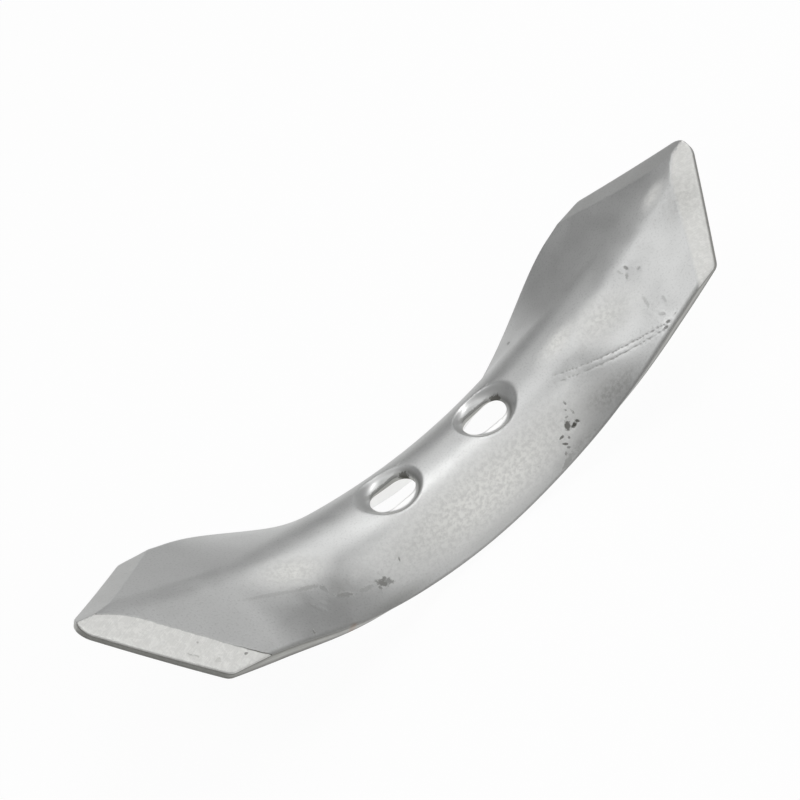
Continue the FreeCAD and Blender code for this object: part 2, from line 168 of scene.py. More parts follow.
class ShareStudio(bpy.types.PropertyGroup):
    """Camera, floor and room"""

    camera_place: FloatVectorProperty(
        name="Camera place", description="Where the camera stands", subtype="TRANSLATION",
        default=(-0.18570, -0.35680, 0.42656))
    camera_turn: FloatVectorProperty(
        name="Camera turn", description="How the camera is turned", subtype="EULER",
        default=(math.radians(45.650), math.radians(14.767), math.radians(-40.593)))
    lens: FloatProperty(name="Lens", description="Focal length in millimetres", default=71.46)
    floor_colour: colour("Floor", "Colour of the floor", (0.90, 0.90, 0.90))
    floor_white: share_of_one("Floor white", "How far the floor shows as plain white", 0.95)
    sky: share_of_one("Sky", "Grey level of the room", 0.30)


def ease(x):
    """Smooth step from 0 to 1."""
    x = np.clip(x, 0.0, 1.0)
    return x * x * (3.0 - 2.0 * x)


def soft_min(a, b, blend):
    """The lower of two heights, rounded where they meet."""
    near = np.maximum(blend - np.abs(a - b), 0.0) / blend
    return np.minimum(a, b) - near * near * blend / 4.0


def halve(low, high, past, rounds=40):
    """Both ends of where a test turns true between two rows of values, closed in by halving."""
    for _ in range(rounds):
        middle = (low + high) / 2
        over = past(middle)
        low, high = np.where(over, low, middle), np.where(over, middle, high)
    return low, high


def columns(*values):
    """Arrays side by side, one row for each point."""
    return np.stack(np.broadcast_arrays(*values), axis=-1)


# How much wider each bevel is than drawn, by end and side: at the nose, halfway, at the side
BEVEL_WIDTHS = {
    (-1.0, -1.0): (1.2, 0.8, -0.1),
    (-1.0, 1.0): (0.0, -0.5, -1.0),
    (1.0, -1.0): (1.6, -0.5, -2.2),
    (1.0, 1.0): (0.6, 0.2, -1.3),
}

# Marks in the working face: name, place along and across, half length, half width, turn,
# darkness and depth. Places, sizes and depths are in millimetres, turns in radians.
MARKS = (
    ("deep pit", 39.2, -27.3, 2.1, 1.4, 1.1, 0.80, 0.22),
    ("hooked pit", 41.0, -28.9, 1.5, 0.9, 0.2, 0.95, 0.25),
    ("hook of the pit", 42.6, -28.6, 1.2, 0.6, -1.2, 0.85, 0.18),
    ("pit rim", 35.0, -28.8, 1.2, 0.6, -0.1, 0.75, 0.10),
    ("pit rim", 36.7, -30.7, 0.9, 0.5, 1.4, 0.60, 0.06),
    ("short score", 34.4, -31.5, 1.5, 0.5, -0.9, 0.75, 0.10),
    ("speck", 34.5, -33.2, 0.8, 0.4, -0.9, 0.55, 0.05),
    ("speck", 32.5, -34.2, 1.0, 0.6, 1.0, 0.50, 0.05),
    ("speck", 44.0, -20.8, 1.2, 0.5, 1.4, 0.50, 0.05),
    ("speck", 42.4, -23.0, 1.0, 0.5, -1.2, 0.50, 0.05),
    ("speck", 43.7, -25.2, 1.2, 0.5, 1.3, 0.50, 0.05),
    ("speck", 40.9, -24.8, 0.8, 0.4, -0.4, 0.40, 0.05),
    ("trail of specks", 31.1, -37.0, 4.5, 1.4, 0.4, 0.35, 0.03),
    ("smudge", -46.5, -28.1, 2.6, 1.4, -0.7, 0.62, 0.06),
    ("arm of the smudge", -43.9, -28.4, 2.2, 1.0, -0.8, 0.50, 0.04),
    ("lobe of the smudge", -45.2, -26.9, 1.1, 0.7, 1.0, 0.60, 0.04),
    ("end of the smudge", -47.8, -26.5, 1.2, 0.6, -0.6, 0.55, 0.04),
    ("foot of the smudge", -48.2, -29.1, 1.1, 0.6, 1.6, 0.45, 0.05),
    ("short score", -36.8, -24.2, 1.2, 0.3, 1.3, 0.50, 0.10),
    ("speck", -41.2, -24.3, 0.6, 0.3, -0.5, 0.50, 0.08),
    ("speck", -42.1, -22.6, 0.5, 0.4, 0.9, 0.25, 0.05),
    ("speck", -45.8, -24.3, 0.9, 0.4, -1.3, 0.30, 0.05),
    # The crease and fold rows are painted shade along a fold that the mesh barely bends.
    ("start of the crease", -84.0, -14.9, 13.0, 1.0, -0.22, 0.14, 0.00),
    ("crease", -71.3, -17.6, 5.5, 1.0, -0.2, 0.24, 0.01),
    ("bend of the crease", -66.3, -20.3, 2.4, 1.1, -1.2, 0.26, 0.01),
    ("end of the crease", -61.2, -25.1, 4.6, 1.2, -0.4, 0.40, 0.03),
    ("tail of the crease", -52.8, -26.8, 3.8, 1.1, -0.1, 0.24, 0.01),
    ("fold", -72.5, -26.0, 3.4, 1.2, -0.9, 0.14, 0.12),
    ("nick", -80.0, -34.0, 1.4, 0.5, 1.4, 0.60, 0.04),
    ("dent", 96.1, -8.5, 1.2, 0.7, 1.4, 0.42, 0.12),
    ("foot of the dent", 93.6, -10.6, 1.5, 0.8, 0.7, 0.28, 0.05),
    ("rim of the dent", 93.6, -7.4, 1.8, 0.6, 1.5, 0.16, 0.03),
    ("side of the dent", 98.3, -12.7, 1.2, 0.6, 0.2, 0.22, 0.06),
    ("spot at the edge", 87.1, -33.7, 1.1, 0.6, -0.6, 0.50, 0.06),
    ("spot at the edge", 90.6, -34.2, 0.7, 0.5, -0.1, 0.30, 0.03),
    ("spot at the edge", 84.8, -34.1, 1.2, 0.6, -0.6, 0.45, 0.06),
    ("wear arc", 89.0, -22.4, 3.5, 0.7, 1.1, 0.16, 0.04),
    ("wear arc", 93.1, -27.6, 2.3, 0.7, 1.2, 0.16, 0.04),
    ("wear arc", 88.2, -30.1, 1.8, 0.8, -1.1, 0.18, 0.04),
    ("spot on the bevel", -104.9, -32.2, 0.7, 0.5, -0.1, 0.55, 0.10),
    ("spot on the bevel", -110.3, -32.7, 0.7, 0.3, 1.0, 0.45, 0.08),
    ("spot on the bevel", -116.4, -22.0, 0.6, 0.5, 0.3, 0.32, 0.05),
    ("blur on the bevel", -113.6, -30.1, 1.4, 1.0, -0.1, 0.18, 0.00),
    ("score on the bevel", -119.6, -25.3, 3.6, 0.4, -0.7, 0.26, 0.06),
    ("speck on the far side", 53.1, 24.4, 2.0, 0.9, 1.5, 0.35, 0.05),
    # The two burr rows have no depth: they are painted shade in the slots' corners.
    ("burr at the left slot", -14.4, 3.4, 2.3, 1.5, -0.9, 0.85, 0.00),
    ("burr at the right slot", 31.2, 3.2, 2.8, 1.6, -0.9, 0.90, 0.00),
)

# Soft zones of the face: place along and across, half length, half width, turn, core and strength
# Painted highlights: paler, rougher steel where the near flank and the crests catch the light
HIGHLIGHT_ZONES = (
    (2.0, -24.0, 72.0, 19.0, -0.03, 0.10, 1.00),
    (-72.0, -10.0, 20.0, 10.0, -0.2, 0.00, 0.90),
    (-53.0, -21.0, 5.0, 5.0, 0.0, 0.10, 0.35),
    (76.0, -12.0, 22.0, 12.0, -0.3, 0.00, 0.80),
    (60.0, -4.0, 15.0, 5.5, 0.00, 0.00, 0.90),
    (124.0, -2.0, 9.0, 4.0, 0.00, 0.00, 0.80),
)
# Painted glints and highlights: bright spots on the seats' far walls and rims, a bright strip along the
# scores, and one on the left fold
GLINT_SPOTS = (
    (-24.6, 8.2, 4.0, 2.2, 0.3, 0.00, 0.75),
    (19.8, 9.4, 4.2, 2.4, 0.3, 0.00, 0.75),
    (-12.6, 7.8, 1.2, 0.6, 0.2, 0.20, 0.50),
    (32.6, 8.6, 1.2, 0.6, 0.2, 0.20, 0.50),
    (67.0, -22.4, 23.0, 0.9, -0.53, 0.00, 0.20),
    (-69.5, -24.6, 3.0, 0.8, -0.9, 0.20, 0.25),
)
# Painted shade: darker patches low on the near flank and in the left hollow, where the face turns from
# the light
SHADE_PATCHES = (
    (-50.0, -37.0, 26.0, 6.0, 0.0, 0.00, 0.46),
    (-61.0, -21.5, 4.6, 4.8, -0.4, 0.00, 0.26),
    (-57.8, -21.8, 3.2, 1.4, 1.5, 0.00, 0.24),
)
# Mottled steel, partly real mottle and partly painted shade, darker toward the lower near edge and on
# the right blade's near flank
MOTTLE_AND_SHADE_ZONES = (
    (57.0, -31.0, 19.0, 8.0, -0.25, 0.00, 0.42),
    (38.0, -36.0, 16.0, 4.5, 0.10, 0.00, 0.35),
    (0.0, -38.0, 50.0, 4.0, 0.00, 0.00, 0.12),
    (88.0, -27.0, 8.0, 9.0, 0.60, 0.00, 0.10),
    (128.0, -12.0, 14.0, 12.0, 0.00, 0.00, 0.20),
)
RUST_MARKS = (
    (-65.0, -36.3, 2.0, 0.9, 0.1, 0.30, 0.35),
)

# Broad hollows: place along and across, half sizes, turn and depth
HOLLOWS = (
    (-60.5, -21.0, 6.5, 5.0, -0.7, 0.12),
    (97.5, -9.5, 5.0, 3.0, 0.4, 0.10),
)

# Rows of dashes that a tool left: start and end along and across, depth and pitch
SCORES = (
    ((46.5, -10.2), (89.5, -35.2), 0.09, 1.6),
    ((44.7, -12.2), (87.5, -35.9), 0.08, 2.3),
)
SCORE_HALF_WIDTH = 0.36
SCORE_FADE = 4.0
# Waves that bend a row of dashes: size and turn for each millimetre
SCORE_WAVES = ((0.12, 1.3), (0.06, 3.1))
DASH_CONTRAST = 0.28

# A bevel's wheel is left out beyond this many bevel widths from its edge
WHEEL_REACH = 2.5
# Ripples of a bevel's inner line, in turns for each metre
RIPPLES = (610.0, 1490.0)
LOCATE_ROUNDS = 30


def turned(along, across, turn):
    """Distances along and across a mark that is turned on the plate."""
    cos, sin = math.cos(turn), math.sin(turn)
    return along * cos + across * sin, across * cos - along * sin


class Plate:
    """The share's plate as functions of the distances along and across its crest, and the depth."""

    def __init__(self, shape):
        self.shape = shape
        c = shape
        flank = c.middle_flank_angle
        straight = (c.middle_half_width - c.middle_crest_radius * math.sin(flank)) / math.cos(flank)
        self.crest_height = (
            c.middle_crest_radius * (1 - math.cos(flank))
            + straight * math.sin(flank)
            + c.thickness * math.cos(flank)
        )
        self.cut_place = c.half_length - c.blade_half_width / math.tan(c.nose_half_angle) / 2
        self.nose_reach = c.blade_bend_radius * math.sin(
            (c.half_length - self.cut_place) / c.blade_bend_radius)
        self.apex_reach = self.nose_reach + c.nose_radius * (1 / math.sin(c.nose_half_angle) - 1)
        self.edge_angle = math.atan(math.tan(c.nose_half_angle) / math.cos(c.blade_flank_angle))
        crest_radius = self.section(np.array([self.cut_place]))[0][0]
        self.flank_lift = crest_radius * (1 / math.cos(c.blade_flank_angle) - 1)
        self.edge_bend_radius = c.blade_bend_radius / math.cos(self.edge_angle) ** 2
        self.bevel_depth = c.thickness - c.edge_land
        self.bevel_width = self.bevel_depth / math.tan(c.bevel_angle)
        self.bolt_along = c.bolt_spacing / 2
        self.bolt_height = self.crest_height + c.middle_bend_radius - math.sqrt(
            c.middle_bend_radius ** 2 - self.bolt_along ** 2)
        self.seat_depth = c.thickness - c.throat_height

    def bend(self, s):
        """Crest line: place along X, height and slope."""
        c = self.shape
        reach = np.abs(s)
        inner = np.minimum(reach, c.middle_bend_reach) / c.middle_bend_radius
        slope = inner + np.maximum(reach - c.middle_bend_reach, 0) / c.blade_bend_radius
        along = c.middle_bend_radius * np.sin(inner)
        along = along + c.blade_bend_radius * (np.sin(slope) - np.sin(inner))
        height = self.crest_height + c.middle_bend_radius * (1 - np.cos(inner))
        height = height + c.blade_bend_radius * (np.cos(inner) - np.cos(slope))
        side = np.sign(s)
        return along * side, height, slope * side

    def section(self, s):
        """Cross-section: crest radius, flank slope and half width."""
        c = self.shape
        flare = ease((np.abs(s) - c.flare_start) / (c.flare_end - c.flare_start))
        flank = c.middle_flank_angle + (c.blade_flank_angle - c.middle_flank_angle) * flare
        half = c.middle_half_width + (c.blade_half_width - c.middle_half_width) * flare
        travel = ease(np.abs(s) / c.half_length)
        radius = c.middle_crest_radius + (c.nose_crest_radius - c.middle_crest_radius) * travel
        return radius, flank, half

    def side(self, s):
        """Distance across, from the crest to the side edge."""
        radius, flank, half = self.section(s)
        return radius * flank + (half - radius * np.sin(flank)) / np.cos(flank)

    def lean(self, s, t):
        """How far the surface leans away from the crest's own normal."""
        radius, flank, _ = self.section(s)
        return np.minimum(np.abs(t) / radius, flank)

    def place(self, s, t, depth):
        """Points of the plate at a depth under its working face."""
        along, height, slope = self.bend(s)
        radius, flank, _ = self.section(s)
        lean = self.lean(s, t)
        straight = np.maximum(np.abs(t) - radius * flank, 0)
        across = (radius - depth) * np.sin(lean) + straight * np.cos(lean)
        up = (radius - depth) * np.cos(lean) - radius - straight * np.sin(lean)
        return columns(along - up * np.sin(slope), across * np.sign(t), height + up * np.cos(slope))

    def locate(self, wanted, depth, read, s, t):
        """Find the distances along and across whose point reads as wanted."""
        for _ in range(LOCATE_ROUNDS):
            error = wanted - read(self.place(s, t, depth))
            s = s + error[:, 0]
            t = t + error[:, 1]
        return s, t

    def in_cut_plane(self, points):
        """Points in the plane that touches the right blade's crest: along, across, over it."""
        along, height, slope = (v[0] for v in self.bend(np.array([self.cut_place])))
        x = points[:, 0] - along
        z = points[:, 2] - height
        return columns(
            x * math.cos(slope) + z * math.sin(slope),
            points[:, 1],
            z * math.cos(slope) - x * math.sin(slope),
        )

    def at_edge(self, points, side):
        """Points seen from a cutting edge: out from it, over the flank, along it."""
        c = self.shape
        cut = self.in_cut_plane(points)
        lean_cos, lean_sin = math.cos(c.blade_flank_angle), math.sin(c.blade_flank_angle)
        lifted = cut[:, 2] - self.flank_lift
        across = cut[:, 1] * side * lean_cos - lifted * lean_sin
        over = cut[:, 1] * side * lean_sin + lifted * lean_cos
        along = cut[:, 0] - self.apex_reach
        turn_cos, turn_sin = math.cos(self.edge_angle), math.sin(self.edge_angle)
        out = along * turn_sin + across * turn_cos
        middle = c.blade_half_width / 2 / turn_sin
        run = across * turn_sin - along * turn_cos - middle
        return columns(out, over, run)

    def wheel(self, s, t, side):
        """Depth of one cutting edge's bevel under the working face, with the place against the edge.

        The depth is negative where the wheel passes over the face.
        """
        c = self.shape
        points = self.place(np.abs(s), t, 0.0)
        edge = self.at_edge(points, side)
        width = self.bevel_width + self.wander(edge[:, 2], side, np.sign(s))
        bend = self.edge_bend_radius
        rise = bend - np.sqrt(bend ** 2 - edge[:, 2] ** 2)
        face = rise - self.bevel_depth * (1 + edge[:, 0] / width)
        lean = c.blade_flank_angle - self.lean(s, t) * np.sign(t) * side
        depth = (edge[:, 1] - face) / np.cos(lean)
        return np.where(edge[:, 0] < -WHEEL_REACH * self.bevel_width, -1.0, depth), edge

    def grind(self, s, t):
        """Depth of the deeper of the two bevels, with the place against its edge."""
        near, near_edge = self.wheel(s, t, -1.0)
        far, far_edge = self.wheel(s, t, 1.0)
        deeper = far > near
        return np.where(deeper, far, near), np.where(deeper[:, None], far_edge, near_edge)

    def wander(self, run, side, end):
        """How much wider a hand-ground bevel is than it should be, different on each edge."""
        reach = self.shape.blade_half_width / 2 / math.sin(self.edge_angle)
        share = np.clip((run / reach + 1) / 2, 0, 1)
        width = np.zeros(len(run))
        for (edge_end, edge_side), (nose, middle, outer) in BEVEL_WIDTHS.items():
            curve = nose * (1 - share) * (1 - 2 * share)
            curve = curve + 4 * middle * share * (1 - share) + outer * share * (2 * share - 1)
            width = np.where((end == edge_end) & (side == edge_side), curve * MM, width)
        ripple = np.sin(run * RIPPLES[0] + side * 1.7 + end) + np.sin(run * RIPPLES[1] + end * 2.0)
        return width + self.shape.bevel_wander * ripple / 2

    def seat(self, x, y):
        """Height of the dished bolt seats."""
        c = self.shape
        reach = np.hypot(np.abs(x) - self.bolt_along, y)
        wall = (c.seat_radius - reach) / math.tan(c.seat_wall_angle)
        return self.bolt_height - soft_min(wall, self.seat_depth, c.seat_rounding)

    def front(self, s, t, sink=0.0, drop=0.0):
        """Points of the finished working face. Sink follows the plate's depth, drop is straight down."""
        ground = self.grind(s, t)[0]
        depth = np.maximum(ground, 0.0) + sink + self.dents(s, t)
        points = self.place(s, t, depth)
        seat = self.seat(points[:, 0], points[:, 1])
        points[:, 2] = soft_min(points[:, 2], seat, self.shape.rim_rounding) - drop
        return points

    def dents(self, s, t):
        """Depth of the dents, pits, creases and scores that forging and use left in the face."""
        s, t = s / MM, t / MM
        depth = np.zeros(len(s))
        bumps = [(*mark[1:6], mark[-1]) for mark in MARKS] + list(HOLLOWS)
        for along, across, half_length, half_width, turn, deep in bumps:
            u, v = turned(s - along, t - across, turn)
            depth += deep * np.exp(-((u / half_length) ** 2 + (v / half_width) ** 2))
        return depth * MM + self.scores(s * MM, t * MM)

    def scores(self, s, t):
        """Depth of the rows of dashes that a tool left."""
        s, t = s / MM, t / MM
        depth = np.zeros(len(s))
        for start, end, deep, pitch in SCORES:
            run = Vector(end) - Vector(start)
            u, v = turned(s - start[0], t - start[1], math.atan2(run.y, run.x))
            for size, pace in SCORE_WAVES:
                v = v + size * np.sin(u * pace)
            ends = ease(u / SCORE_FADE) * ease((run.length - u) / SCORE_FADE)
            beat = np.sin(u * 2 * math.pi / pitch + np.sin(u * 0.7) * 2.5)
            dash = 1 - DASH_CONTRAST + DASH_CONTRAST * beat
            depth += deep * ends * dash * np.exp(-(v / SCORE_HALF_WIDTH) ** 2)
        return depth * MM

    def slot_loop(self, depth, step):
        """The right slot's outline on the plate, at a depth, evenly spaced."""
        c = self.shape
        radius = c.slot_width / 2
        reach = c.slot_length / 2 - radius
        ends = max(8, round(math.pi * radius / step))
        flats = max(2, round(2 * reach / step))
        points = []
        for side in (1, -1):
            first = 0 if side > 0 else math.pi
            for k in range(ends):
                turn = first + math.pi * (k / ends - 0.5)
                points.append((side * reach + radius * math.cos(turn), radius * math.sin(turn)))
            for k in range(flats):
                points.append((side * reach * (1 - 2 * k / flats), side * radius))
        wanted = np.array(points)
        wanted[:, 0] += self.bolt_along
        s, t = self.locate(wanted, depth, lambda p: p[:, :2], wanted[:, 0], wanted[:, 1])
        return columns(s, t)

    def quarter(self, depth, step):
        """Outline of one quarter at a depth, from the middle of a side round to the nose."""
        c = self.shape
        turn = c.nose_half_angle

        def past_edge(s):
            cut = self.in_cut_plane(self.place(s, self.side(s), depth))
            return (cut[:, 0] - self.apex_reach) * math.sin(turn) + cut[:, 1] * math.cos(turn) >= 0

        span = np.array([c.blade_half_width])
        low, high = halve(self.cut_place - span, self.cut_place + span, past_edge, rounds=50)
        corner_s = ((low + high) / 2)[0]
        side_count = round(self.cut_place / step)
        s = np.linspace(0, corner_s, side_count, endpoint=False)
        side = columns(s, self.side(s))

        at_corner = self.place(np.array([corner_s]), self.side(np.array([corner_s])), depth)
        start = self.in_cut_plane(at_corner)[0, :2]
        centre = self.nose_reach - c.nose_radius
        touch = np.array([centre + c.nose_radius * math.sin(turn), c.nose_radius * math.cos(turn)])
        edge_count = round(c.blade_half_width / math.sin(turn) / step)
        share = np.linspace(0, 1, edge_count, endpoint=False)[:, None]
        edge = start + (touch - start) * share
        nose_count = round(c.nose_radius * (math.pi / 2 - turn) / step) * 2
        sweep = np.linspace(math.pi / 2 - turn, 0, nose_count)
        nose = columns(centre + c.nose_radius * np.cos(sweep), c.nose_radius * np.sin(sweep))
        wanted = np.concatenate([edge, nose])
        s, t = self.locate(wanted, depth, lambda p: self.in_cut_plane(p)[:, :2],
                           wanted[:, 0] + self.cut_place, wanted[:, 1])
        t[-1] = 0.0
        loop = np.concatenate([side, columns(s, t)])
        return self.round_corner(loop, side_count)

    def round_corner(self, loop, corner):
        """Replace the corner of an outline by a short curve through the points beside it."""
        radius = self.shape.corner_radius
        steps = np.linalg.norm(np.diff(loop, axis=0), axis=1)
        before = loop[corner] + (loop[corner - 1] - loop[corner]) * radius / steps[corner - 1]
        after = loop[corner] + (loop[corner + 1] - loop[corner]) * radius / steps[corner]
        share = np.linspace(0, 1, 6)[:, None]
        curve = (1 - share) ** 2 * before + 2 * share * (1 - share) * loop[corner] + share ** 2 * after
        skip = 1 + int(radius / steps[corner])
        return np.concatenate([loop[:corner - skip + 1], curve, loop[corner + skip:]])

    def outline(self, depth, step):
        """The whole outline at a depth, as distances along and across."""
        quarter = self.quarter(depth, step)
        back = quarter[-2:0:-1]
        right = np.concatenate([quarter, back * (1, -1)])
        middle = quarter[:1] * (1, -1)
        left = np.concatenate([middle, quarter[1:] * (-1, -1), back * (-1, 1)])
        return np.concatenate([right, left])

    def crease_at(self, t, side, end):
        """Where a bevel starts, as distances along the crest for distances across it."""
        c = self.shape
        low = np.full(len(t), c.flare_end - 2 * c.thickness)
        high = np.full(len(t), self.cut_place + self.apex_reach)
        low, high = halve(low, high, lambda s: self.wheel(s * end, t, side)[0] > 0)
        return (low + high) / 2 * end

    def ridge_at(self, s):
        """Where the two bevels of a blade meet, as distances across for distances along."""
        high = np.full(len(s), self.shape.thickness)
        low, high = halve(
            -high, high, lambda t: self.wheel(s, t, 1.0)[0] > self.wheel(s, t, -1.0)[0])
        return (low + high) / 2

    def meeting(self, end):
        """The point where both bevels of a blade start."""
        high = np.array([self.shape.thickness])
        low, _ = halve(
            -high, high, lambda t: self.wheel(self.crease_at(t, 1.0, end), t, -1.0)[0] <= 0)
        return columns(self.crease_at(low, 1.0, end), low)


def offset(loop, distance):
    """A closed loop moved to its own left by a distance, with its corners kept."""
    ahead = np.roll(loop, -1, axis=0) - loop
    ahead /= np.linalg.norm(ahead, axis=1)[:, None]
    behind = np.roll(ahead, 1, axis=0)
    middle = ahead + behind
    middle /= np.linalg.norm(middle, axis=1)[:, None]
    stretch = 1 / np.maximum((middle * ahead).sum(axis=1), 0.3)
    left = columns(-middle[:, 1], middle[:, 0])
    return loop + left * (distance * stretch)[:, None]


# Points of a rounded edge: turn from the face (0) to the side (1)
ROUND_STEPS = (1.0, 0.66, 0.33, 0.0)
# Rings down the outer edge and down a slot's wall
OUTER_RINGS = 5
SLOT_RINGS = 6
# Spacings of points as shares of the mesh step
SLOT_SPACING = 0.6
SEAT_SPACING = 0.55
CREASE_SPACING = 0.8
CLEARANCE = 0.6
GRID_GAP = 0.55
# Rows of points beside a bevel's start, and spacings in the marks and scores, in millimetres
BESIDE_CREASE = 0.35
MARK_SPACING = 0.33
SCORE_SPACING = 0.36
MARK_GAP = 0.28
# Marks at least this deep get finer points
DEEP_MARK = 0.1


def round_steps(radius):
    """Inset and drop of each ring of a rounded edge, from the side up to the face."""
    for turn in ROUND_STEPS:
        swing = turn * math.pi / 2
        yield radius * (1 - math.sin(swing)), radius * (1 - math.cos(swing))


def hex_grid(low, high, step):
    """Points in even triangles over a rectangle."""
    rows = np.arange(low[1], high[1], step * math.sqrt(3) / 2)
    along = np.arange(low[0], high[0], step)
    return np.concatenate([
        columns(along + (index % 2) * step / 2, row) for index, row in enumerate(rows)
    ])


def thin(points, taken, gap, apart=False):
    """Points that keep a gap from those already taken and, where asked, from each other."""
    tree = KDTree(len(taken))
    for index, point in enumerate(taken):
        tree.insert((point[0], point[1], 0), index)
    tree.balance()
    points = points[[tree.find((p[0], p[1], 0))[2] > gap for p in points]]
    if not apart:
        return points
    tree = KDTree(len(points))
    for index, point in enumerate(points):
        tree.insert((point[0], point[1], 0), index)
    tree.balance()
    dropped = set()
    for index, point in enumerate(points):
        if index not in dropped:
            near = tree.find_range((point[0], point[1], 0), gap)
            dropped.update(other for _, other, _ in near if other > index)
    return points[[index for index in range(len(points)) if index not in dropped]]


class Sheet:
    """One side of the plate: points in rings, lines and a grid, joined into triangles."""

    def __init__(self):
        self.flat = []
        self.sink = []
        self.drop = []
        self.edges = []
        self.count = 0

    def add(self, points, sink=0.0, drop=0.0):
        """Add points and return their numbers."""
        start = self.count
        self.flat.append(points)
        self.sink.append(np.full(len(points), sink))
        self.drop.append(np.full(len(points), drop))
        self.count += len(points)
        return np.arange(start, self.count)

    def close(self, ring):
        """Keep a closed ring of edges."""
        self.edges += list(zip(ring.tolist(), np.roll(ring, -1).tolist()))

    def chain(self, line):
        """Keep an open line of edges."""
        self.edges += list(zip(line[:-1].tolist(), line[1:].tolist()))

    def taken(self):
        """All points so far."""
        return np.concatenate(self.flat)

    def triangles(self, holes):
        """Join the points. Holes are rings that stay open."""
        flat = self.taken()
        points = [Vector(p) for p in flat / MM]
        made = delaunay_2d_cdt(points, self.edges, [], 1, 1e-5)
        new_points, faces, origins = made[0], made[2], made[3]
        source = np.array([o[0] if o else -1 for o in origins])
        extra = np.array([i for i, o in enumerate(origins) if not o], dtype=int)
        if len(extra):
            fresh_and_lit = self.add(np.array([tuple(new_points[i]) for i in extra]) * MM)
            source[extra] = fresh_and_lit
        faces = source[np.array([tuple(f) for f in faces])]
        for ring in holes:
            inside = np.isin(faces, ring).all(axis=1)
            faces = faces[~inside]
        return faces


def inset(plate, flat):
    """Distance from points to the outline, positive inside."""
    c = plate.shape
    s, t = np.abs(flat[:, 0]), np.abs(flat[:, 1])
    cut = plate.in_cut_plane(plate.place(s, t, 0.0))
    turn = c.nose_half_angle
    centre = plate.nose_reach - c.nose_radius
    line = (plate.apex_reach - cut[:, 0]) * math.sin(turn) - cut[:, 1] * math.cos(turn)
    past = (cut[:, 0] - centre) * math.cos(turn) > cut[:, 1] * math.sin(turn)
    nose = c.nose_radius - np.hypot(cut[:, 0] - centre, cut[:, 1])
    return np.minimum(plate.side(s) - t, np.where(past, nose, line))


def near_seat(plate, flat, reach):
    """Points within a reach of a bolt's axis."""
    return np.hypot(np.abs(flat[:, 0]) - plate.bolt_along, flat[:, 1]) < reach


def fill(plate, sheet, slots, step, seat_step, margin):
    """Fill a sheet with a grid, finer in the seats, clear of its rings and of the slots."""
    c = plate.shape
    reach = c.seat_radius + 2 * c.rim_rounding
    size = (c.half_length + c.thickness, c.middle_half_width * 2)
    coarse = hex_grid((-size[0], -size[1]), size, step)
    coarse = coarse[inset(plate, coarse) > margin]
    if seat_step < step:
        fine = hex_grid((-size[0], -reach), (size[0], reach), seat_step)
        fine = fine[near_seat(plate, fine, reach)]
        coarse = coarse[~near_seat(plate, coarse, reach + seat_step / 2)]
        fine = thin(outside_slots(plate, fine, slots), sheet.taken(), seat_step * CLEARANCE)
        sheet.add(fine)
    coarse = thin(outside_slots(plate, coarse, slots), sheet.taken(), step * GRID_GAP)
    sheet.add(coarse)


def add_marks_grid(plate, sheet):
    """Finer points at the marks and scores, so that the mesh can take their shape."""
    fine = []
    for _, along, across, half_length, half_width, turn, _, deep in MARKS:
        if deep >= DEEP_MARK:
            reach = (half_length * 1.6 + 0.5, half_width * 1.6 + 0.5)
            fine.append(turned_grid((along, across), reach, turn, MARK_SPACING))
    for start, end, _, _ in SCORES:
        run = Vector(end) - Vector(start)
        middle = (Vector(end) + Vector(start)) / 2
        reach = (run.length / 2, SCORE_HALF_WIDTH * 1.8)
        fine.append(turned_grid(middle, reach, math.atan2(run.y, run.x), SCORE_SPACING))
    fine = np.concatenate(fine) * MM
    fine = fine[inset(plate, fine) > 3 * plate.shape.edge_rounding]
    sheet.add(thin(fine, sheet.taken(), MARK_GAP * MM, apart=True))


def turned_grid(middle, reach, turn, step):
    """An even grid over an oval that is turned on the plate."""
    grid = hex_grid((-reach[0], -reach[1]), reach, step)
    grid = grid[((grid / reach) ** 2).sum(axis=1) < 1]
    along, across = turned(grid[:, 0], grid[:, 1], -turn)
    return columns(along + middle[0], across + middle[1])


def outside_slots(plate, flat, slots):
    """Points that lie outside the slots' loops, which are convex."""
    keep = np.ones(len(flat), dtype=bool)
    for loop in slots:
        ahead = np.roll(loop, -1, axis=0) - loop
        near = np.hypot(*(flat - loop.mean(axis=0)).T) < plate.shape.slot_length
        rows = np.flatnonzero(near)
        offsets = flat[rows][:, None, :] - loop[None]
        turn = ahead[None, :, 0] * offsets[..., 1] - ahead[None, :, 1] * offsets[..., 0]
        keep[rows[(turn > 0).all(axis=1)]] = False
    return flat[keep]


def round_edge(sheet, loop, radius, side, level):
    """Rings that round an edge, from its side up to the face. The first is closed and returned."""
    rings = [sheet.add(offset(loop, side * distance), **level(drop))
             for distance, drop in round_steps(radius)]
    sheet.close(rings[0])
    return rings[0]


def slot_edges(plate, sheet, depth, step, level):
    """Outlines of both slots at a depth, and the closed rings of their rounded edges."""
    right = plate.slot_loop(depth, step * SLOT_SPACING)
    loops = [right, right[::-1] * (-1, 1)]
    rounding = plate.shape.slot_rounding
    return loops, [round_edge(sheet, loop, rounding, -1, level) for loop in loops]


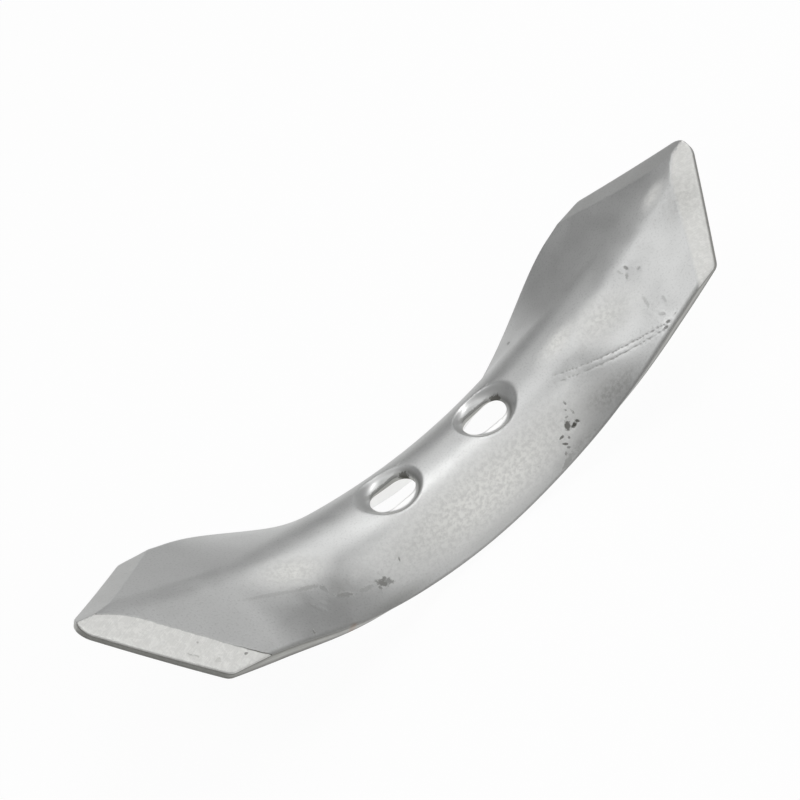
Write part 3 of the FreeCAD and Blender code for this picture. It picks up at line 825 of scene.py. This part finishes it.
def front_sheet(plate):
    """The working face, with its outer edge and slot edges rounded."""
    c = plate.shape
    step = c.mesh_step
    top = plate.outline(0.0, step)
    bottom = plate.outline(c.thickness, step)
    edge_depth = np.maximum(plate.grind(top[:, 0], top[:, 1])[0], 0) + c.edge_rounding
    rim = top + (bottom - top) * (edge_depth / c.thickness)[:, None]
    rim = rim[::-1]
    sheet = Sheet()
    outer = round_edge(sheet, rim, c.edge_rounding, 1, lambda drop: {"sink": drop})
    loops, slots = slot_edges(plate, sheet, 0.0, step, lambda drop: {"drop": drop})
    add_creases(plate, sheet, step)
    add_marks_grid(plate, sheet)
    fill(plate, sheet, loops, step, step * SEAT_SPACING, c.edge_rounding + step * CLEARANCE)
    faces = sheet.triangles(slots)
    flat = sheet.taken()
    points = plate.front(flat[:, 0], flat[:, 1], np.concatenate(sheet.sink),
                         np.concatenate(sheet.drop))
    return points, flat, faces, outer, slots


def add_creases(plate, sheet, step):
    """The lines where the bevels start and where two bevels meet on the crest."""
    c = plate.shape
    for end in (1.0, -1.0):
        meet = plate.meeting(end)
        start = sheet.add(meet)
        for side in (1.0, -1.0):
            t = np.arange(step, c.blade_half_width, step * CREASE_SPACING) * side + meet[0, 1]
            line = columns(plate.crease_at(t, side, end), t)
            line = line[np.abs(t) < plate.side(line[:, 0]) - 1.2 * c.edge_rounding]
            sheet.chain(np.concatenate([start, sheet.add(line)]))
            for shift in (-BESIDE_CREASE * MM, BESIDE_CREASE * MM):
                sheet.add(line[2:-1] + (shift * end, 0))
        reach = c.half_length - 2 * c.edge_rounding
        s = np.arange(abs(meet[0, 0]) + step, reach, step * CREASE_SPACING) * end
        ridge = sheet.add(columns(s, plate.ridge_at(s)))
        sheet.chain(np.concatenate([start, ridge]))


def back_sheet(plate):
    """The hollow side of the plate."""
    c = plate.shape
    sheet = Sheet()

    def from_back(drop):
        return {"sink": c.thickness - drop}

    rim = plate.outline(c.thickness, c.mesh_step)[::-1]
    outer = round_edge(sheet, rim, c.edge_rounding, 1, from_back)
    loops, slots = slot_edges(plate, sheet, c.thickness, c.mesh_step, from_back)
    start = sheet.count
    margin = c.edge_rounding + c.back_step * CLEARANCE
    fill(plate, sheet, loops, c.back_step, c.back_step, margin)
    faces = sheet.triangles(slots)
    flat = sheet.taken()
    sink = np.concatenate(sheet.sink)
    sink[start:] = c.thickness
    points = plate.place(flat[:, 0], flat[:, 1], sink)
    return points, flat, faces[:, ::-1], outer, slots


def quads(above, below):
    """Faces between two closed rings of point numbers."""
    return np.stack([above, np.roll(above, -1), np.roll(below, -1), below], axis=1)


class SHARE_OT_forge_plate(bpy.types.Operator):
    """Build the share's plate with its bevels, seats, slots and dents"""

    bl_idname = "share.forge_plate"
    bl_label = "Forge the plate"

    def execute(self, context):
        shape = context.scene.share_shape
        plate = Plate(shape)
        front = front_sheet(plate)
        back = back_sheet(plate)
        mesh = join_sheets(plate, front, back)
        piece = bpy.data.objects.new("share_plate", mesh)
        context.scene.collection.objects.link(piece)
        mesh.materials.append(steel_material(context.scene.share_finish))
        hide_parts(NODE)
        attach(piece, BODY)
        return {"FINISHED"}


def join_sheets(plate, front, back):
    """One closed mesh from the two sheets, the outer edge and the slot walls."""
    front_points, front_flat, front_faces, front_outer, front_slots = front
    back_points, back_flat, back_faces, back_outer, back_slots = back
    shift = len(front_points)
    total = shift + len(back_points)
    points = [front_points, back_points]
    depths = [np.zeros(shift), np.full(len(back_points), plate.shape.thickness)]
    flats = [front_flat, back_flat]
    gaps = [inset(plate, front_flat), inset(plate, back_flat)]
    walls = []
    pairs = [(front_outer, back_outer, OUTER_RINGS, -1)]
    pairs += [(a, b, SLOT_RINGS, 1) for a, b in zip(front_slots, back_slots)]
    for upper, lower, count, turn in pairs:
        ring = upper
        span = back_points[lower] - front_points[upper]
        height = np.linalg.norm(span, axis=1)
        for k in range(1, count):
            share = k / count
            numbers = np.arange(total, total + len(upper))
            total += len(upper)
            points.append(front_points[upper] + span * share)
            flats.append(front_flat[upper] * (1 - share) + back_flat[lower] * share)
            depths.append(np.full(len(upper), plate.shape.thickness * share))
            gaps.append(height * min(share, 1 - share))
            walls.append(quads(ring, numbers)[:, ::turn])
            ring = numbers
        walls.append(quads(ring, lower + shift)[:, ::turn])
    points = np.concatenate(points)
    triangles = np.concatenate([front_faces, back_faces + shift])
    mesh = bpy.data.meshes.new("share_plate")
    mesh.from_pydata(points.tolist(), [], triangles.tolist() + np.concatenate(walls).tolist())
    mark_places(mesh, plate, points, np.concatenate(flats), np.concatenate(depths),
                np.concatenate(gaps))
    mesh.validate()
    mesh.update()
    mesh.shade_smooth()
    return mesh


def mark_places(mesh, plate, points, flat, depths, gaps):
    """Store where each point lies on the plate, for the materials, in millimetres."""
    s, t = flat[:, 0], flat[:, 1]
    cut, edge = plate.grind(s, t)
    edge_side = plate.wheel(s, t, 1.0)[0] - plate.wheel(s, t, -1.0)[0]
    edge_side = np.where(edge_side == 0, t, edge_side)
    reach = np.hypot(np.abs(points[:, 0]) - plate.bolt_along, points[:, 1])
    sunk = plate.place(s, t, 0.0)[:, 2] - points[:, 2]
    in_seat = (depths == 0) & (reach < plate.shape.seat_radius + plate.shape.thickness)
    values = {
        "plate_place": columns(s, t, depths),
        "edge_place": columns(edge[:, 0], edge[:, 2], cut),
        "seat_place": columns(reach, np.where(in_seat, sunk, 0.0), gaps),
        "blade_side": columns(np.sign(edge_side) * MM, np.sign(s) * MM, plate.scores(s, t)),
    }
    values["mark_close"] = columns(*closest(s, t, MARKS), 0.0)
    values["highlight_and_shade_masks"] = columns(cover(s, t, HIGHLIGHT_ZONES), cover(s, t, SHADE_PATCHES),
                                   cover(s, t, MOTTLE_AND_SHADE_ZONES)) * MM
    values["glint_and_rust_masks"] = columns(cover(s, t, GLINT_SPOTS), cover(s, t, RUST_MARKS), 0.0) * MM
    for name, rows in values.items():
        attribute = mesh.attributes.new(name, "FLOAT_VECTOR", "POINT")
        attribute.data.foreach_set("vector", (rows / MM).astype(np.float32).ravel())


def cover(s, t, zones):
    """How strongly the soft-edged zones of a table cover points of the plate."""
    strength = np.zeros(len(s))
    for along, across, half_length, half_width, turn, core, strong in zones:
        u, v = turned(s / MM - along, t / MM - across, turn)
        reach = np.hypot(u / half_length, v / half_width)
        strength = np.maximum(strength, strong * ease((1.05 - reach) / (1.05 - core)))
    return strength


def closest(s, t, marks):
    """Closeness of points to the nearest mark, 1 at its middle and 0 at its rim, and its darkness."""
    close = np.full(len(s), -1.0)
    strength = np.zeros(len(s))
    for _, along, across, half_length, half_width, turn, dark, _ in marks:
        u, v = turned(s / MM - along, t / MM - across, turn)
        share = 1.0 - np.hypot(u / half_length, v / half_width)
        strength = np.where(share > close, dark, strength)
        close = np.maximum(close, share)
    return close * MM, strength * MM


class Graph:
    """Adds nodes to a node tree and joins them."""

    def __init__(self, tree):
        self.tree = tree

    def node(self, kind, inputs=(), **settings):
        made = self.tree.nodes.new("ShaderNode" + kind)
        for name, value in settings.items():
            setattr(made, name, value)
        for key, value in dict(inputs).items():
            self.put(made.inputs[key], value)
        return made

    def put(self, socket, value):
        if isinstance(value, bpy.types.NodeSocket):
            self.tree.links.new(value, socket)
        elif value is not None:
            socket.default_value = value

    def math(self, operation, *values):
        return self.node("Math", dict(enumerate(values)), operation=operation).outputs[0]

    def times(self, *values):
        """The product of some values."""
        return reduce(lambda a, b: self.math("MULTIPLY", a, b), values)

    def most(self, *values):
        """The highest of some values."""
        return reduce(lambda a, b: self.math("MAXIMUM", a, b), values)

    def rest(self, value):
        """What a share leaves of one."""
        return self.math("SUBTRACT", 1.0, value)

    def ramp(self, value, low, high, to_low=0.0, to_high=1.0):
        """A value carried smoothly from one range to another."""
        made = self.node("MapRange", {"Value": value, "From Min": low, "From Max": high,
                                      "To Min": to_low, "To Max": to_high},
                         interpolation_type="SMOOTHSTEP")
        return made.outputs["Result"]

    def mix(self, factor, first, second):
        """Two colours mixed by a factor."""
        made = self.node("Mix", data_type="RGBA")
        self.put(made.inputs[0], factor)
        self.put(made.inputs[6], first)
        self.put(made.inputs[7], second)
        return made.outputs[2]

    def noise(self, place, scale, detail=2.0, roughness=0.5, distortion=0.0):
        made = self.node("TexNoise", {"Vector": place, "Scale": scale, "Detail": detail,
                                      "Roughness": roughness, "Distortion": distortion})
        return made.outputs["Fac"]

    def split(self, vector):
        return self.node("SeparateXYZ", {0: vector}).outputs

    def join(self, x=0.0, y=0.0, z=0.0):
        return self.node("CombineXYZ", {0: x, 1: y, 2: z}).outputs[0]

    def stored(self, name):
        """The vector that the mesh stores under a name."""
        return self.node("Attribute", attribute_name=name).outputs["Vector"]

    def group(self, tree, **inputs):
        """A node group with its named inputs set. Its outputs are returned by name."""
        made = self.tree.nodes.new("ShaderNodeGroup")
        made.node_tree = tree
        for name, value in inputs.items():
            self.put(made.inputs[name.replace("_", " ").capitalize()], value)
        return made.outputs


def new_group(name, inputs, outputs):
    """An empty node group with named inputs and outputs, and its graph and two ends."""
    tree = bpy.data.node_groups.new(name, "ShaderNodeTree")
    for socket, kind, default in inputs:
        made = tree.interface.new_socket(socket, in_out="INPUT", socket_type="NodeSocket" + kind)
        if default is not None:
            made.default_value = default
    for socket, kind in outputs:
        tree.interface.new_socket(socket, in_out="OUTPUT", socket_type="NodeSocket" + kind)
    graph = Graph(tree)
    start = tree.nodes.new("NodeGroupInput")
    end = tree.nodes.new("NodeGroupOutput")
    return tree, graph, start.outputs, end.inputs


def forged_grain_group():
    """Fine grain, soft patches and lengthwise drag lines of a forged face."""
    tree, graph, given, made = new_group(
        "Forged grain",
        [("Place", "Vector", None), ("Grain size", "Float", 0.8), ("Patch size", "Float", 14.0)],
        [("Grain", "Float"), ("Patches", "Float"), ("Drag", "Float")],
    )
    grain_scale = graph.math("DIVIDE", 1.0, given["Grain size"])
    patch_scale = graph.math("DIVIDE", 1.0, given["Patch size"])
    graph.put(made["Grain"], graph.noise(given["Place"], grain_scale, 4.0, 0.62))
    graph.put(made["Patches"], graph.noise(given["Place"], patch_scale, 3.0, 0.55, 0.4))
    x, y, z = graph.split(given["Place"])
    long = graph.join(graph.times(x, 0.12), graph.times(y, 1.6), z)
    graph.put(made["Drag"], graph.noise(long, 1.0, 3.0, 0.6))
    return tree


def pits_group():
    """Small round pits, scattered where the noise lets them."""
    tree, graph, given, made = new_group(
        "Pits",
        [("Place", "Vector", None), ("Spacing", "Float", 3.0), ("Amount", "Float", 0.3)],
        [("Mask", "Float")],
    )
    scale = graph.math("DIVIDE", 1.0, given["Spacing"])
    cells = graph.node("TexVoronoi", {"Vector": given["Place"], "Scale": scale, "Randomness": 1.0})
    chosen = graph.split(cells.outputs["Color"])[0]
    keep = graph.math("LESS_THAN", chosen, given["Amount"])
    size = graph.ramp(graph.split(cells.outputs["Color"])[1], 0.0, 1.0, 0.05, 0.17)
    dot = graph.rest(graph.ramp(cells.outputs["Distance"], 0.0, size))
    graph.put(made["Mask"], graph.times(dot, keep))
    return tree


def grinding_group():
    """Wheel lines across a ground bevel, with a patchy shine."""
    tree, graph, given, made = new_group(
        "Grinding",
        [("Out", "Float", 0.0), ("Run", "Float", 0.0), ("Line size", "Float", 0.35)],
        [("Lines", "Float"), ("Mottle", "Float")],
    )
    scale = graph.math("DIVIDE", 1.0, given["Line size"])
    slant = graph.math("MULTIPLY_ADD", given["Out"], 0.35, given["Run"])
    lines = graph.join(graph.times(given["Out"], 0.06), slant)
    graph.put(made["Lines"], graph.noise(lines, scale, 3.0, 0.6))
    flat = graph.join(given["Out"], given["Run"])
    graph.put(made["Mottle"], graph.noise(flat, 0.55, 4.0, 0.62, 0.8))
    return tree


# Depths that still count as the working face and as the back, in millimetres
FACE_DEPTH = 0.1
BACK_DEPTH = 4.9
# Crest length from the middle to a bolt, in millimetres
BOLT_CREST = 22.6


def read_places(graph):
    """The places that the mesh stores, in millimetres, and masks of the plate's sides."""
    at = SimpleNamespace(place=graph.stored("plate_place"))
    at.along, at.across, depth = graph.split(at.place)
    at.out, at.run, at.cut = graph.split(graph.stored("edge_place"))
    at.reach, at.sunk, at.gap = graph.split(graph.stored("seat_place"))
    far_side, right_end, at.scored = graph.split(graph.stored("blade_side"))
    at.close, at.mark_dark, _ = graph.split(graph.stored("mark_close"))
    at.pale_highlight, at.stained, at.mottled = graph.split(graph.stored("highlight_and_shade_masks"))
    at.glint_and_polish, at.rust, _ = graph.split(graph.stored("glint_and_rust_masks"))
    at.on_face = graph.math("LESS_THAN", depth, FACE_DEPTH)
    at.on_back = graph.math("GREATER_THAN", depth, BACK_DEPTH)
    at.near = graph.math("LESS_THAN", far_side, 0.0)
    at.near_left = graph.times(at.near, graph.math("LESS_THAN", right_end, 0.0))
    return at


def bevel_masks(graph, at, wobble):
    """How much ground steel the bevels show, painted lighter on the near bevels than the far ones, and
    the bumped line where the near left one starts, with painted shade in it.
    """
    wavy_cut = graph.math("ADD", at.cut, wobble)
    rim = graph.ramp(at.near_left, 0.0, 1.0, 0.45, 0.06)
    ground = graph.times(graph.ramp(wavy_cut, 0.0, rim), at.on_face)
    # Painted light: the near bevels get the full ground colour, the far ones a quarter of it.
    fresh_and_lit = graph.times(ground, graph.ramp(at.near, 0.0, 1.0, 0.25, 1.0))
    # Painted shade along the near left bevel's inner line.
    groove_shade = graph.ramp(graph.math("ABSOLUTE", wavy_cut), 0.0, 0.09, 1.0, 0.0)
    groove_shade = graph.times(groove_shade, graph.ramp(at.gap, 2.0, 12.0, 0.9, 0.06), at.near_left, at.on_face)
    return fresh_and_lit, groove_shade


def seat_masks(graph, at, wobble):
    """The seats' plain far side, the painted highlight on their near floor, and the painted shade in
    their crescents and throats.
    """
    in_seat = graph.times(graph.ramp(at.sunk, 0.2, 0.8), at.on_face)
    side = graph.times(in_seat, graph.ramp(at.across, -2.0, 4.5, 0.0, 1.0))
    # Painted highlight: the near floor of each seat is painted bright.
    floor = graph.times(graph.ramp(at.sunk, 0.5, 1.6), graph.ramp(at.across, 0.0, -3.5),
                        graph.ramp(at.reach, 10.2, 9.4), at.on_face)
    from_bolt = graph.math("MULTIPLY_ADD", graph.math("SIGN", at.along), -BOLT_CREST, at.along)
    # Painted shade in the dark crescent at each seat's outer end and along its far throat edge.
    crescent_shade = graph.times(graph.ramp(from_bolt, 2.5, 6.5), graph.ramp(at.reach, 8.8, 10.0),
                           graph.ramp(at.across, 7.0, 2.0, 0.10, 0.55),
                           graph.ramp(at.reach, 11.4, 10.0), in_seat)
    throat_shade = graph.math("MULTIPLY_ADD", wobble, 24.0, at.across)
    throat_shade = graph.times(graph.ramp(throat_shade, 7.0, 6.2), graph.ramp(at.across, 4.2, 5.2),
                         graph.ramp(at.reach, 10.8, 7.6, 0.0, 0.66), in_seat)
    return side, floor, graph.most(crescent_shade, throat_shade)


def mark_masks(graph, at, pits, groove_shade):
    """Darkness of the marks, some of them painted shade, of the scores, the scattered pits, and the
    painted shade at the near left bevel's start.
    """
    ragged = graph.math("SUBTRACT", graph.noise(at.place, 1.1, 4.0, 0.7), 0.5)
    close = graph.math("ADD", at.close, graph.times(ragged, 1.8))
    dark = graph.times(graph.ramp(close, -0.05, 0.45), at.mark_dark)
    dark = graph.most(dark, graph.ramp(at.scored, 0.02, 0.12, 0.0, 0.5), graph.times(pits, 0.22))
    return graph.most(graph.times(dark, graph.rest(at.on_back)), groove_shade)


def bare_colour(graph, at, finish, fresh_and_lit, grain, blotch, grinding):
    """Colour of the clean steel: the plate, the painted highlight on its near flank, the bevels, painted
    lighter on the near side than the far, and the sheared walls.
    """
    steel = shades(graph, graph.ramp(grain["Patches"], 0.35, 0.65), finish.steel, 0.95)
    specks = graph.ramp(grain["Grain"], 0.32, 0.50, 0.35, 0.0)
    steel = graph.mix(specks, steel, (*darker(finish.steel, 0.6), 1))
    # Painted highlight: the zones take paler steel in soft blotches.
    highlight_cast = shades(graph, graph.ramp(blotch["Grain"], 0.36, 0.62), finish.pale_highlight, 0.86)
    steel = graph.mix(graph.times(at.pale_highlight, at.on_face), steel, highlight_cast)
    bevel = shades(graph, graph.ramp(grinding["Mottle"], 0.42, 0.62), finish.ground, 0.9)
    streaks = graph.ramp(grinding["Lines"], 0.35, 0.65, 0.0, 0.35)
    bevel = graph.mix(streaks, bevel, (*darker(finish.ground, 0.8), 1))
    sheared = shades(graph, graph.ramp(grain["Drag"], 0.35, 0.65), finish.sheared, 0.8)
    on_wall = graph.math("SUBTRACT", graph.rest(at.on_face), at.on_back)
    return graph.mix(on_wall, graph.mix(fresh_and_lit, steel, bevel), sheared)


def steel_material(finish):
    """Bare forged steel with ground bevels, dark sheared edges and marks, painted highlights and glints,
    and painted shade.
    """
    material = bpy.data.materials.new("bare_forged_steel")
    material.use_nodes = True
    shader = material.node_tree.nodes["Principled BSDF"].inputs
    graph = Graph(material.node_tree)
    at = read_places(graph)
    grain_tree = forged_grain_group()
    grain = graph.group(grain_tree, place=at.place)
    blotch = graph.group(grain_tree, place=at.place, grain_size=1.7, patch_size=7.0)
    grinding = graph.group(grinding_group(), out=at.out, run=at.run)
    pits = graph.group(pits_group(), place=at.place, spacing=3.2, amount=0.16)["Mask"]

    wobble = graph.times(graph.math("SUBTRACT", grain["Grain"], 0.5), 0.10)
    fresh_and_lit, groove_shade = bevel_masks(graph, at, wobble)
    seat_side, lit_seat_floor, seat_shade = seat_masks(graph, at, wobble)
    dark = mark_masks(graph, at, pits, groove_shade)
    # Painted highlight: the glint spots and the seats' near floor take bright steel with low roughness.
    glint_and_polish = graph.most(graph.times(at.glint_and_polish, at.on_face), lit_seat_floor)
    # Partly wear and partly painted light: the middle of the hollow side is painted bright steel.
    rubbed_and_lit = graph.times(at.on_back, graph.ramp(graph.math("ABSOLUTE", at.along), 64.0, 48.0))
    # Painted shade along the near side's rounded edges, dimming their highlight.
    near_edge_shade = graph.times(graph.ramp(at.gap, 0.1, 1.8, 0.45, 0.0), at.near, graph.rest(fresh_and_lit))
    # Painted shade: the shade patches and the mottled zones darken the face.
    mottled = graph.times(at.mottled, graph.ramp(blotch["Grain"], 0.34, 0.64, 0.25, 1.0))
    patch_shade_and_mottle = graph.times(graph.most(at.stained, mottled), at.on_face)
    # Real dirt in the marks and painted shade in the seats, edges and patches, all in one mask.
    dirt_and_shade = graph.most(seat_shade, near_edge_shade, patch_shade_and_mottle, dark)

    painted = bare_colour(graph, at, finish, fresh_and_lit, grain, blotch, grinding)
    layers = ((seat_side, finish.steel), (glint_and_polish, finish.glint_and_polish), (rubbed_and_lit, finish.glint_and_polish),
              (dirt_and_shade, finish.grime_and_shade), (at.rust, finish.rust))
    for mask, shade in layers:
        painted = graph.mix(mask, painted, (*shade, 1))
    graph.put(shader["Base Color"], painted)

    rough = graph.ramp(grain["Patches"], 0.3, 0.7, finish.steel_roughness - 0.03,
                       finish.steel_roughness + 0.05)
    rough = graph.math("MULTIPLY_ADD", dirt_and_shade, 0.3, rough)
    levels = ((seat_side, finish.ground_roughness), (glint_and_polish, finish.seat_roughness),
              (at.pale_highlight, finish.pale_roughness), (fresh_and_lit, finish.ground_roughness))
    for mask, level in levels:
        rough = graph.ramp(mask, 0.0, 1.0, rough, level)
    graph.put(shader["Roughness"], rough)
    graph.put(shader["Metallic"], graph.math("MULTIPLY_ADD", dirt_and_shade, -0.6, 0.95))

    height = graph.math("MULTIPLY_ADD", grain["Drag"], 0.25, graph.times(grain["Grain"], 0.5))
    height = graph.ramp(at.pale_highlight, 0.0, 1.0, height, graph.times(height, 0.35))
    height = graph.ramp(fresh_and_lit, 0.0, 1.0, height, graph.times(grinding["Lines"], 0.8))
    height = graph.math("MULTIPLY_ADD", dark, -1.6, height)
    bump = graph.node("Bump", {"Height": height, "Strength": 1.0, "Distance": finish.grain_height})
    graph.put(shader["Normal"], bump.outputs[0])
    return material


def shades(graph, factor, shade, share):
    """Patches of a colour and of a darker one."""
    return graph.mix(factor, (*darker(shade, share), 1), (*shade, 1))


def darker(shade, share):
    """A colour brought down to a share of itself."""
    return tuple(value * share for value in shade)


class SHARE_OT_stage(bpy.types.Operator):
    """Set the floor, the lamps, the room and the camera"""

    bl_idname = "share.stage"
    bl_label = "Set the studio"

    def execute(self, context):
        scene = context.scene
        studio = scene.share_studio
        make_floor(scene, studio)
        make_room(scene, studio)
        make_lamps(scene)
        make_camera(scene, studio)
        scene.view_settings.view_transform = "Standard"
        return {"FINISHED"}


FLOOR_HALF_SIZE = 3.0
FLOOR_ROUGHNESS = 0.8
WHITE = (1, 1, 1, 1)


def show_white(graph, amount, surface, white, output):
    """Show a surface as plain white by an amount that depends on the ray."""
    mix = graph.node("MixShader", {0: amount, 1: surface.outputs[0], 2: white.outputs[0]})
    graph.put(output.inputs["Surface"], mix.outputs[0])


def make_floor(scene, studio):
    """A wide, nearly white floor under the share's lowest point."""
    size = FLOOR_HALF_SIZE
    mesh = bpy.data.meshes.new("floor")
    corners = [(-size, -size, 0), (size, -size, 0), (size, size, 0), (-size, size, 0)]
    mesh.from_pydata(corners, [], [(0, 1, 2, 3)])
    floor = bpy.data.objects.new("floor", mesh)
    floor.location.z = CAD_LOW.z
    scene.collection.objects.link(floor)
    material = bpy.data.materials.new("pale_floor")
    material.use_nodes = True
    nodes = material.node_tree.nodes
    graph = Graph(material.node_tree)
    shader = nodes["Principled BSDF"]
    graph.put(shader.inputs["Base Color"], (*studio.floor_colour, 1))
    graph.put(shader.inputs["Roughness"], FLOOR_ROUGHNESS)
    graph.put(shader.inputs["Specular IOR Level"], 0.0)
    white = graph.node("Emission", {"Color": WHITE, "Strength": 1.0})
    path = graph.node("LightPath").outputs
    seen = graph.most(path["Is Camera Ray"], path["Is Glossy Ray"], path["Is Transmission Ray"])
    amount = graph.times(seen, studio.floor_white)
    show_white(graph, amount, shader, white, nodes["Material Output"])
    mesh.materials.append(material)


def make_room(scene, studio):
    """An even grey room that lights the share. Only the camera sees it as white."""
    world = bpy.data.worlds.new("room")
    world.use_nodes = True
    nodes = world.node_tree.nodes
    graph = Graph(world.node_tree)
    background = nodes["Background"]
    graph.put(background.inputs["Color"], (studio.sky, studio.sky, studio.sky, 1))
    white = graph.node("Background", {"Color": WHITE, "Strength": 1.0})
    seen = graph.node("LightPath").outputs["Is Camera Ray"]
    show_white(graph, seen, background, white, nodes["World Output"])
    scene.world = world


# Soft boxes: name, turn round the share, height and half angle in degrees, brightness. Places
# and levels are rounded from a fit to the brightness of the photograph.
SOFT_BOXES = (
    ("overhead_right", 0.0, 68.0, 13.0, 3.5),
    ("overhead_left", 180.0, 68.0, 13.0, 3.0),
    ("back_right", 36.0, 45.0, 13.0, 1.5),
    ("back", 72.0, 45.0, 13.0, 1.0),
    ("front_high", 290.0, 45.0, 13.0, 2.0),
    ("front_low", 300.0, 25.0, 13.0, 1.5),
)
BOX_DISTANCE = 1.5
SENSOR_WIDTH = 36.0


def make_lamps(scene):
    """Large soft boxes that look at the share."""
    target = (CAD_LOW + CAD_HIGH) / 2
    for name, turn, height, half_angle, level in SOFT_BOXES:
        turn, height = math.radians(turn), math.radians(height)
        flat = math.cos(height)
        direction = Vector((flat * math.cos(turn), flat * math.sin(turn), math.sin(height)))
        lamp = bpy.data.lights.new(name, "AREA")
        lamp.shape = "DISK"
        lamp.size = 2 * BOX_DISTANCE * math.tan(math.radians(half_angle))
        lamp.energy = level * math.pi * math.pi * lamp.size ** 2 / 4
        box = bpy.data.objects.new(name, lamp)
        box.location = target + direction * BOX_DISTANCE
        box.rotation_euler = direction.to_track_quat("Z", "Y").to_euler()
        scene.collection.objects.link(box)


def make_camera(scene, studio):
    """The camera, at the photograph's place and angle."""
    data = bpy.data.cameras.new("camera")
    data.lens = studio.lens
    data.sensor_width = SENSOR_WIDTH
    camera = bpy.data.objects.new("camera", data)
    camera.location = studio.camera_place
    camera.rotation_euler = Euler(studio.camera_turn)
    scene.collection.objects.link(camera)
    scene.camera = camera


class SHARE_PT_sidebar(bpy.types.Panel):
    """The share's operators and sizes in the sidebar"""

    bl_label = "Reversible share"
    bl_idname = "SHARE_PT_sidebar"
    bl_space_type = "VIEW_3D"
    bl_region_type = "UI"
    bl_category = "Share"

    def draw(self, context):
        layout = self.layout
        for operator in OPERATORS:
            layout.operator(operator.bl_idname)
        for group in (context.scene.share_shape, context.scene.share_finish,
                      context.scene.share_studio):
            box = layout.box()
            for name in group.bl_rna.properties.keys():
                if name not in ("rna_type", "name"):
                    box.prop(group, name)


OPERATORS = (SHARE_OT_forge_plate, SHARE_OT_stage)
CLASSES = (ShareShape, ShareFinish, ShareStudio, *OPERATORS, SHARE_PT_sidebar)


def register():
    for kind in CLASSES:
        bpy.utils.register_class(kind)
    bpy.types.Scene.share_shape = PointerProperty(type=ShareShape)
    bpy.types.Scene.share_finish = PointerProperty(type=ShareFinish)
    bpy.types.Scene.share_studio = PointerProperty(type=ShareStudio)


def unregister():
    del bpy.types.Scene.share_studio
    del bpy.types.Scene.share_finish
    del bpy.types.Scene.share_shape
    for kind in reversed(CLASSES):
        bpy.utils.unregister_class(kind)


def main():
    register()
    bpy.ops.share.forge_plate()
    bpy.ops.share.stage()


if __name__ == "__main__":
    main()
